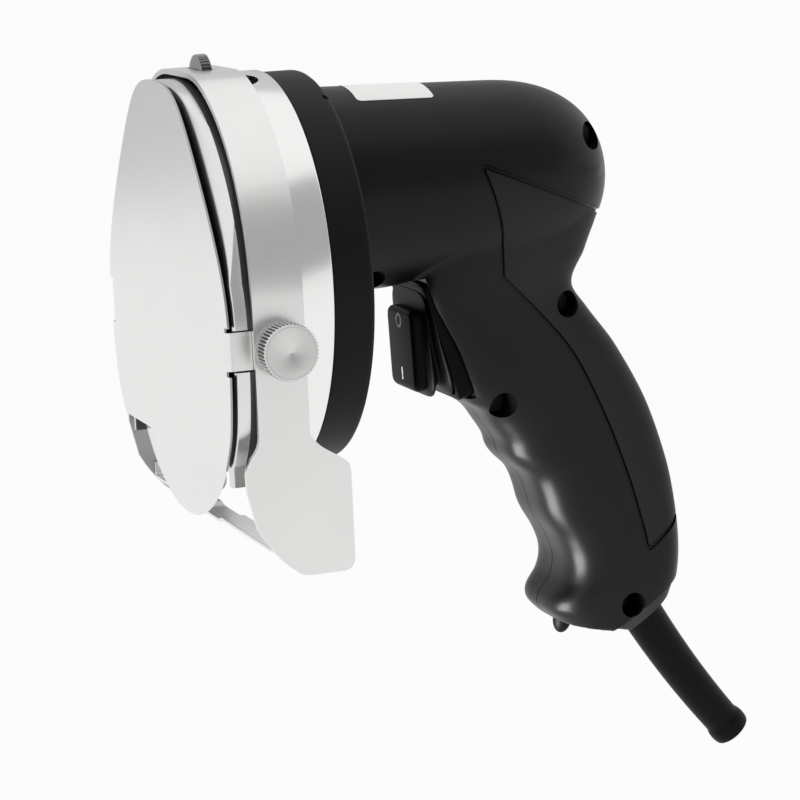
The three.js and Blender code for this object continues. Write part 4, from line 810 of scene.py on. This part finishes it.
def bootFrame(t):
    place = boot["start"] * (1 - t) ** 2 + boot["control"] * 2 * t * (1 - t) + boot["end"] * t ** 2
    run = ((boot["control"] - boot["start"]) * (1 - t) + (boot["end"] - boot["control"]) * t).normalized()
    return place, run


def makeSkin():
    bm = bmesh.new()
    addSkin(bm, gripLoops())
    geometry = bm.verts[:] + bm.edges[:] + bm.faces[:]
    sliced = bmesh.ops.bisect_plane(bm, geom=geometry, plane_co=base["place"], plane_no=baseDown, clear_outer=True)
    bmesh.ops.edgeloop_fill(bm, edges=[e for e in sliced["geom_cut"] if isinstance(e, bmesh.types.BMEdge)])
    addSkin(bm, barrelLoops())
    body = linked("handle_skin", bm)
    modified(body, "REMESH", mode="VOXEL", voxel_size=handle["voxel"])
    modified(body, "SMOOTH", factor=0.5, iterations=handle["rounds"])
    return settled(body)


def shrunk(body, amount, name, voxel=0.0):
    inner = twin(body, name)
    modified(inner, "DISPLACE", direction="NORMAL", mid_level=0, strength=-amount)
    if voxel:
        modified(inner, "REMESH", mode="VOXEL", voxel_size=voxel)
    return settled(inner)


# Inlay outline in the X-Z plane, closed round the back of the grip
inlay = dict(
    tip=(90.2, 26.8), neck=((93.5, 17.4), (97.0, 5.2)), corner=(98.4, -6.3),
    front=((109.8, -17.8), (120.9, -31.4), (129.9, -50.0), (136.7, -69.2), (141.5, -87.0)), foot=(142.7, -93.4),
    topSlope=-0.4256, footSlope=0.6957, backX=168.0, depth=1.2, bed=1.5, groove=0.5, stepWidth=1.5, stepDepth=0.65,
    tipEase=1.3, footEase=10.0,
)


def inlayLine():
    tip, corner, foot, back = inlay["tip"], inlay["corner"], inlay["foot"], inlay["backX"]
    neck = smooth([tip, *inlay["neck"], corner], 8)
    front = smooth([corner, *inlay["front"], foot], 10)
    footEnd = Vector((back, foot[1] + inlay["footSlope"] * (back - foot[0])))
    topEnd = Vector((back, tip[1] + inlay["topSlope"] * (back - tip[0])))
    tipRound = eased([topEnd, tip, neck[1]], inlay["tipEase"], 4, closed=False)[1:-1]
    footRound = eased([front[-3], foot, footEnd], inlay["footEase"], 6, closed=False)[1:-1]
    return tipRound + neck[1:-1] + front[:-3] + footRound + [footEnd, topEnd]


def sidePrism(name, outline):
    return prism(name, [(p.x, -outside, p.y) for p in outline], across * 2 * outside)


# All space round the handle between two places across it
def layer(name, low, high):
    return block(name, (0, low, handle["below"]), (handle["behind"], high, handle["above"]))


def wellTools():
    tools = []
    for x, z in screws["places"]:
        seat = -screws["seat"]
        tools.append(rod("well", screws["well"], (x, -screws["start"], z), (x, seat, z)))
        tools.append(rod("shank", screws["shank"], (x, seat - 1, z), (x, screws["bite"], z), coarseSteps))
    return tools


def inWell(place, normal):
    reach = screws["well"] + 0.02
    return place.y < 0.1 - screws["seat"] and any(
        hypot(place.x - x, place.z - z) < reach for x, z in screws["places"]
    )


def half(piece, name, side):
    other = twin(piece, name)
    gap = handle["meet"]
    low, high = (-beyond, -gap) if side < 0 else (gap, beyond)
    return carved(other, layer("side", low, high), how="INTERSECT")


def makeHousing():
    skin = makeSkin()
    place, run = bootFrame(0)
    corner, end = place - run * boot["cutBack"], place - run * boot["ringBack"]
    slab = carved(rod("slab", boot["slab"], corner, end + run), shrunk(skin, boot["ringIn"], "ring"))
    carved(skin, rod("corner", boot["slab"], end, end + run * outside), slab)
    print("handle skin", len(skin.data.polygons), "faces")
    core = shrunk(skin, handle["wall"], "core", handle["coreVoxel"])
    backing = shrunk(skin, handle["wall"] / 2, "backing")
    shell = twin(skin, "housing")
    carved(shell, core)
    bosses = [rod("boss", screws["boss"], (x, -outside, z), (x, outside, z)) for x, z in screws["places"]]
    posts = joined(bosses[0], *bosses[1:])
    carved(posts, backing, how="INTERSECT")
    joined(shell, posts)
    axis = Vector((0, 0, handle["axisZ"]))
    front, rear = handle["canSpan"]
    gap, (boreFront, boreRear) = boot["gap"], boot["boreSpan"]
    seat, lip = boot["seat"] + boot["flange"] + gap, gap - boot["seat"]
    neck, flangeRadius = boot["rootRadius"] + gap, boot["flangeRadius"] + gap
    stem = baseDown * bumper["stemReach"]
    carved(
        shell,
        rod("frontBore", handle["frontBore"], axis + along * 30, axis + along * (handle["frontX"] + 12), 96),
        rod("canBore", handle["canRadius"], axis + along * front, axis + along * rear, 96),
        turned("bootBore", [
            (boreFront, 0), (boreFront, neck), (-seat, neck), (-seat, flangeRadius), (lip, flangeRadius), (lip, neck),
            (boreRear, neck), (boreRear, 0),
        ], place, run, 64),
        rod("stemHole", bumper["stemHole"], bumperPlace - stem, bumperPlace + stem, 32),
        faceBlock("flat", (-mouth["flatTop"], mouth["flatFoot"]), outside, (mouth["rim"], outside)),
        faceBlock("recess", (-mouth["halfLength"], mouth["halfLength"]), mouth["halfWidth"], (0, outside)),
        faceBlock(
            "pocket", (-mouth["pocketLength"], mouth["pocketLength"]), mouth["pocketWidth"],
            (-mouth["pocketDepth"], outside),
        ),
        *wellTools(),
    )
    print("housing hollowed")
    stepLine, bedLine = (grown(inlayLine(), inlay[width]) for width in ("stepWidth", "groove"))
    step = carved(sidePrism("step", stepLine), shrunk(skin, inlay["stepDepth"], "stepFloor"))
    bed = carved(sidePrism("bed", bedLine), shrunk(skin, inlay["bed"], "bedFloor"))
    carved(shell, step, bed)
    panel = carved(sidePrism("panel", inlayLine()), twin(skin, "outside"), how="INTERSECT")
    carved(panel, shrunk(skin, inlay["depth"], "panelFloor"), *wellTools())
    seam = handle["seam"]
    parting = carved(layer("parting", -seam, seam), shrunk(skin, handle["seamDepth"], "partingFloor"))
    carved(panel, twin(parting, "panelParting"))
    carved(shell, parting)
    for side, suffix in bothSides:
        shellHalf, panelHalf = half(shell, "housing_half_" + suffix, side), half(panel, "grip_panel_" + suffix, side)
        kept(shellHalf, blackPlastic, "handle", ["housing_" + suffix], 32)
        # painted shade: the walls of the screw wells take the matte black
        partly(shellHalf, paintedWellShade, inWell)
        # painted light: the stepped ring above the boot takes a lighter black, for the light its slant catches
        partly(shellHalf, paintedLightRing, lambda spot, normal: (
            -boot["cutBack"] < (spot - place).dot(run) < -boot["ringBack"]
            and abs(normal.dot(run)) < 0.7 and not inWell(spot, normal)
        ))
        kept(panelHalf, inlayRubber, "handle", ["grip_inlay_" + suffix], 32)
    for scrap in (skin, shell, panel):
        bpy.data.objects.remove(scrap)


bumper = dict(fromFront=14.5, radius=2.9, drop=4.6, stem=1.7, gap=0.3, sink=3.0, stemHole=2.0, stemReach=8)
bumperPlace = base["place"] + baseAlong * bumper["fromFront"]
makeHousing()
print("housing and inlays made")


# Strain relief boot, and the bumper under the base
def bootRing(t, back, radius):
    place, run = bootFrame(t)
    place = place - run * back
    side = Vector((-run.z, 0, run.x))
    return [place + side * radius * cos(a) + across * radius * sin(a) for a in turnsOf(48)]


def makeBoot():
    root, tip, bead = boot["rootRadius"], boot["tipRadius"], boot["beadRadius"]
    seat, start = boot["seat"], boot["beadStart"]
    loops = [
        bootRing(0, seat + boot["flange"], boot["flangeRadius"]), bootRing(0, seat, boot["flangeRadius"]),
        bootRing(0, seat, root),
    ]
    for k in range(25):
        t = start * k / 24
        loops.append(bootRing(t, 0, root + (tip - root) * k / 24))
    for k in range(1, 13):
        share = k / 12
        loops.append(bootRing(start + (1 - start) * share, 0, tip + (bead - tip) * sin(pi * share * 0.85) ** 0.6))
    rim, deep = boot["socketRadius"], boot["socketDepth"]
    loops += [bootRing(1, 0, rim + 0.9), bootRing(1, 0.4, rim), bootRing(1, deep, rim)]
    kept(skinned("strain_relief_boot", loops), blackRubber, "handle", ["strain_relief"], 40)


def makeBumper():
    sink, stem, gap = bumper["sink"], bumper["stem"], bumper["gap"]
    profile = [(-sink, 0), (-sink, stem), (gap, stem)]
    for k in range(13):
        a = pi / 2 * k / 12
        profile.append((gap + bumper["drop"] * sin(a), bumper["radius"] * cos(a)))
    foot = turned("base_bumper_foot", profile, bumperPlace, baseDown, 48)
    kept(foot, blackRubber, "handle", ["base_bumper"])


makeBoot()
makeBumper()

# Switch: frame in the mouth, pleated bellows and a rocker cap with its two marks
bezel = dict(
    halfLength=18.4, halfWidth=15.0, innerLength=16.6, innerWidth=13.1, back=0.3, front=4.2, lean=0.9, corner=3.0,
    edge=0.7,
)


def makeBezel():
    def ring(length, width):
        return eased([(-length, -width), (length, -width), (length, width), (-length, width)], bezel["corner"], 8)

    outer, inner = ring(bezel["halfLength"], bezel["halfWidth"]), ring(bezel["innerLength"], bezel["innerWidth"])
    edge, front, back = bezel["edge"], bezel["front"], bezel["back"]
    levels = [
        (outer, back, 0), (outer, front - edge, 0), (outer, front - edge * 0.3, edge * 0.3), (outer, front, edge),
        (inner, front, -0.2), (inner, back, 0),
    ]
    loops = []
    for line, out, inset in levels:
        lean = bezel["lean"] if out > back else 0
        loops.append([onFace(p.x, p.y, out + lean * p.x / bezel["halfLength"]) for p in grown(line, -inset)])
    piece = skinned("switch_frame", loops, closed=True)
    kept(piece, rockerBlack, "handle", ["switch_bezel"], 40)


rocker = dict(
    faceX=71.6, lean=0.8, rearX=75.8, half=10.9, topZ=-15.7, footZ=-40.3, corner=3.6, edge=1.8,
    pivot=Vector((81, 0, -28)), stemHalf=3.6, stemTall=4.5, pin=1.8, pinReach=20,
)


def rockerFace(z):
    return rocker["faceX"] + rocker["lean"] * (rocker["topZ"] - z) / (rocker["topZ"] - rocker["footZ"])


def makeRocker():
    top, foot, wide = rocker["topZ"], rocker["footZ"], rocker["half"]
    outline = eased([(wide, top), (-wide, top), (-wide, foot), (wide, foot)], rocker["corner"], 8)
    rear, edge = rocker["rearX"], rocker["edge"]
    loops = [[(rear, p.x, p.y) for p in grown(outline, -0.3)], [(rear - 0.3, p.x, p.y) for p in outline]]
    for k in range(7):
        back, inset = edge * (1 - sin(pi / 2 * k / 6)), edge * (1 - cos(pi / 2 * k / 6))
        loops.append([(rockerFace(p.y) + back, p.x, p.y) for p in grown(outline, -inset)])
    cap = skinned("rocker_cap", loops)
    pivot, tall, wide, reach = rocker["pivot"], rocker["stemTall"], rocker["stemHalf"], across * rocker["pinReach"]
    stem = block("stem", (rear - 1, -wide, pivot.z - tall), (pivot.x + tall, wide, pivot.z + tall))
    joined(cap, stem)
    carved(cap, rod("pin", rocker["pin"], pivot - reach, pivot + reach, 32))
    kept(cap, rockerBlack, "switch_rocker", ["switch_rocker"])


marks = dict(ringZ=-19.3, ringOuter=2.2, ringInner=1.5, barTop=-33.5, barFoot=-37.4, barHalf=0.36, proud=0.08)


def makeMarks():
    proud, outer, inner = marks["proud"], marks["ringOuter"], marks["ringInner"]
    profile = [(-proud, inner), (-proud, outer), (0.3, outer), (0.3, inner), (-proud, inner)]
    ring = turned("rocker_marks", profile, (rockerFace(marks["ringZ"]), 0, marks["ringZ"]), along, 48)
    wide, top, foot = marks["barHalf"], marks["barTop"], marks["barFoot"]
    outline = [(rockerFace(z) + back, -wide, z) for z, back in ((top, -proud), (foot, -proud), (foot, 0.3), (top, 0.3))]
    joined(ring, prism("bar", outline, across * 2 * wide))
    kept(ring, whitePrint, "switch_rocker")


bellows = dict(
    footLength=16.4, footWidth=12.9, seat=2.6, headX=74.9, headLength=11.8, headWidth=11.2, power=5.0, ribs=2,
    ridge=-1.5, valley=1.3, wall=1.0, sides=64, rows=40, crown=3.2,
)


def makeBellows():
    headMiddle = Vector((rocker["rearX"], 0, (rocker["topZ"] + rocker["footZ"]) / 2))
    shift = (headMiddle - faceMiddle).dot(faceDown)

    def ring(share, depth):
        points = []
        for turn in turnsOf(bellows["sides"]):
            u, v = oblong(turn, bellows["power"])
            inset = depth - bellows["crown"] * max(0, -u) * sin(pi * share) ** 0.7
            footDown, headDown = u * (bellows["footLength"] - inset), shift + u * (bellows["headLength"] - inset)
            footSide, headSide = v * (bellows["footWidth"] - inset), v * (bellows["headWidth"] - inset)
            headOut = (bellows["headX"] - faceMiddle.x - headDown * faceDown.x) / faceOut.x
            points.append(onFace(
                footDown + (headDown - footDown) * share, footSide + (headSide - footSide) * share,
                bellows["seat"] + (headOut - bellows["seat"]) * share,
            ))
        return points

    loops = []
    ridge, valley = bellows["ridge"], bellows["valley"]
    for k in range(bellows["rows"] + 1):
        share = k / bellows["rows"]
        fold = (0.5 - 0.5 * cos(2 * pi * bellows["ribs"] * share)) ** 1.4
        loops.append(ring(share, valley + (ridge - valley) * fold if 0 < k < bellows["rows"] else valley))
    for k in range(bellows["rows"], -1, -8):
        loops.append(ring(k / bellows["rows"], valley + bellows["wall"]))
    piece = skinned("switch_boot", loops, closed=True)
    kept(piece, blackRubber, None, ["switch_bellows"], 50)
    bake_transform(piece)


makeBezel()
makeRocker()
makeMarks()
makeBellows()
print("boot and switch made")

# Blank paper label on top of the barrel, bent to its curve
label = dict(
    frontX=57.0, rearX=81.0, farAngle=radians(5), nearAngle=radians(-28), thickness=0.12, lift=0.03, corner=1.6,
    cuts=24,
)


def makeLabel():
    front, rear = label["frontX"], label["rearX"]
    radius = barrelRadius((front + rear) / 2)
    near, far = radius * label["nearAngle"], radius * label["farAngle"]
    outline = eased([(front, near), (rear, near), (rear, far), (front, far)], label["corner"], 6)
    piece = prism("barrel_label", [(p.x, p.y, label["lift"]) for p in outline], upward * label["thickness"])
    bm = bmesh.new()
    bm.from_mesh(piece.data)
    for k in range(1, label["cuts"]):
        cut = (0, near + (far - near) * k / label["cuts"], 0)
        bmesh.ops.bisect_plane(bm, geom=bm.verts[:] + bm.edges[:] + bm.faces[:], plane_co=cut, plane_no=across)
    for vert in bm.verts:
        angle = vert.co.y / radius
        size = barrelRadius(vert.co.x) + vert.co.z
        vert.co = (vert.co.x, size * sin(angle), handle["axisZ"] + size * cos(angle))
    bm.to_mesh(piece.data)
    bm.free()
    kept(piece, labelPaper, "handle")


makeLabel()

# Inner pieces keep their CAD shape and take a finish
inner = [
    (zincSteel, "blade_screw clamp_washer flange_screw_1 flange_screw_2 flange_screw_3 wheel_stud spindle"),
    (zincSteel, "motor_pinion motor_shaft motor_can switch_pin"),
    (screwBlack, "housing_screw_1 housing_screw_2 housing_screw_3 housing_screw_4 housing_screw_5"),
    (bladeSteel, "front_bearing rear_bearing motor_bearing_front motor_bearing_rear"),
    (acetal, "drive_gear"),
    (ironCore, "armature_core magnet_upper magnet_lower"),
    (copper, "commutator"),
    (carbon, "brush_left brush_right"),
    (rockerBlack, "cooling_fan brush_plate switch_body capacitor"),
    (boardGreen, "rectifier_board"),
]
for material, names in inner:
    for name in names.split():
        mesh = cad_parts[name].data
        mesh.materials.clear()
        mesh.materials.append(material)
print("inner pieces finished")

# Camera at the photograph's place
view = dict(
    place=Vector((-237.8026, -851.258, 123.4644)) * mm,
    right=Vector((0.93622176, -0.34850044, -0.04512496)), up=Vector((0.10492624, 0.15467549, 0.98237772)),
    back=Vector((-0.33537934, -0.92445818, 0.1813774)), lens=138.1, sensor=36.0,
)
lens = bpy.data.cameras.new("camera")
lens.lens = view["lens"]
lens.sensor_width = view["sensor"]
camera = bpy.data.objects.new("camera", lens)
turn = Matrix((view["right"], view["up"], view["back"])).transposed().to_4x4()
camera.matrix_world = Matrix.Translation(view["place"]) @ turn
bpy.context.scene.collection.objects.link(camera)
bpy.context.scene.camera = camera
bpy.context.scene.view_settings.view_transform = "Standard"


# Studio: white world and floor for what the camera and mirrors see, a softer level for everything else
def seenDirectly(tree):
    path = added(tree, "LightPath", {})
    total = path.outputs["Is Camera Ray"]
    for kind in ("Is Glossy Ray", "Is Transmission Ray"):
        total = added(tree, "Math", {0: total, 1: path.outputs[kind]}, operation="MAXIMUM").outputs[0]
    return total


studio = dict(ambient=0.6, floorZ=-0.55, floorSize=60.0, floorGlow=1.0, floorShade=0.07, floorGrey=0.9)
world = bpy.data.worlds.new("studio")
world.use_nodes = True
bpy.context.scene.world = world
tree = world.node_tree
plain = tree.nodes["Background"]
fed(tree, plain, {"Color": (1, 1, 1, 1), "Strength": studio["ambient"]})
white = added(tree, "Background", {"Color": (1, 1, 1, 1), "Strength": 1})
choice = added(tree, "MixShader", {"Fac": seenDirectly(tree), 1: plain.outputs[0], 2: white.outputs[0]})
fed(tree, tree.nodes["World Output"], {"Surface": choice.outputs[0]})


def flatSheet(name, size, place, facing):
    bm = bmesh.new()
    bmesh.ops.create_grid(bm, x_segments=4, y_segments=4, size=0.5)
    bm.transform(aimed(place, facing) @ Matrix.Diagonal((*size, 1, 1)))
    return linked(name, bm)


def makeFloor():
    size, grey = studio["floorSize"], studio["floorGrey"]
    floor = flatSheet("floor", (size, size), (0, 0, studio["floorZ"]), upward)
    material, tree = nodedMaterial("floorWhite")
    shader = tree.nodes["Principled BSDF"]
    fed(tree, shader, {"Base Color": (grey, grey, grey, 1), "Roughness": 0.9, "Specular IOR Level": 0})
    glow = added(tree, "Emission", {"Strength": studio["floorGlow"]})
    share = added(tree, "Math", {0: seenDirectly(tree), 1: 1 - studio["floorShade"]}, operation="MULTIPLY")
    mix = added(tree, "MixShader", {"Fac": share.outputs[0], 1: shader.outputs[0], 2: glow.outputs[0]})
    fed(tree, tree.nodes["Material Output"], {"Surface": mix.outputs[0]})
    floor.data.materials.append(material)


makeFloor()


# Grey cards that only mirrors see, as a photographer sets beside polished metal
def card(name, size, place, shade):
    sheet = flatSheet(name, size, place, -Vector(place))
    material, tree = nodedMaterial(name)
    tree.nodes.remove(tree.nodes["Principled BSDF"])
    grey = added(tree, "Emission", {"Color": (shade, shade, shade, 1)})
    fed(tree, tree.nodes["Material Output"], {"Surface": grey.outputs[0]})
    sheet.data.materials.append(material)
    sheet.visible_camera = sheet.visible_diffuse = False
    sheet.visible_shadow = sheet.visible_transmission = False


card("cardFront", (2.0, 0.95), (0.4, -1.05, 0.42), 0.42)
card("cardBehind", (1.2, 0.5), (0.0, 0.45, 0.19), 0.6)


# A lamp lights everything, or only the pieces named
def lamp(name, place, target, size, power, mirrored=True, only=()):
    light = bpy.data.lights.new(name, "AREA")
    light.shape = "RECTANGLE"
    light.size, light.size_y = size
    light.energy = power
    lampObject = bpy.data.objects.new(name, light)
    aim = Vector(target) - Vector(place)
    lampObject.matrix_world = aimed(place, aim, Vector((0, 0, -1)))
    lampObject.visible_camera = False
    lampObject.visible_glossy = mirrored
    bpy.context.scene.collection.objects.link(lampObject)
    if only:
        lit = bpy.data.collections.new(name + "Lit")
        for piece in only:
            lit.objects.link(bpy.data.objects[piece])
        lampObject.light_linking.receiver_collection = lit


litPieces = [
    "housing_half_left", "housing_half_right", "grip_panel_left", "grip_panel_right", "base_bumper_foot",
    "switch_boot", "rocker_marks",
]
lamp("low", (-0.5, -0.17, -0.34), (0.1, 0, -0.07), (0.6, 0.5), 24, only=litPieces)
lamp("top", (0.1, 0.15, 1.1), (0.05, 0, 0), (0.9, 0.9), 6, mirrored=False)
print("studio set")
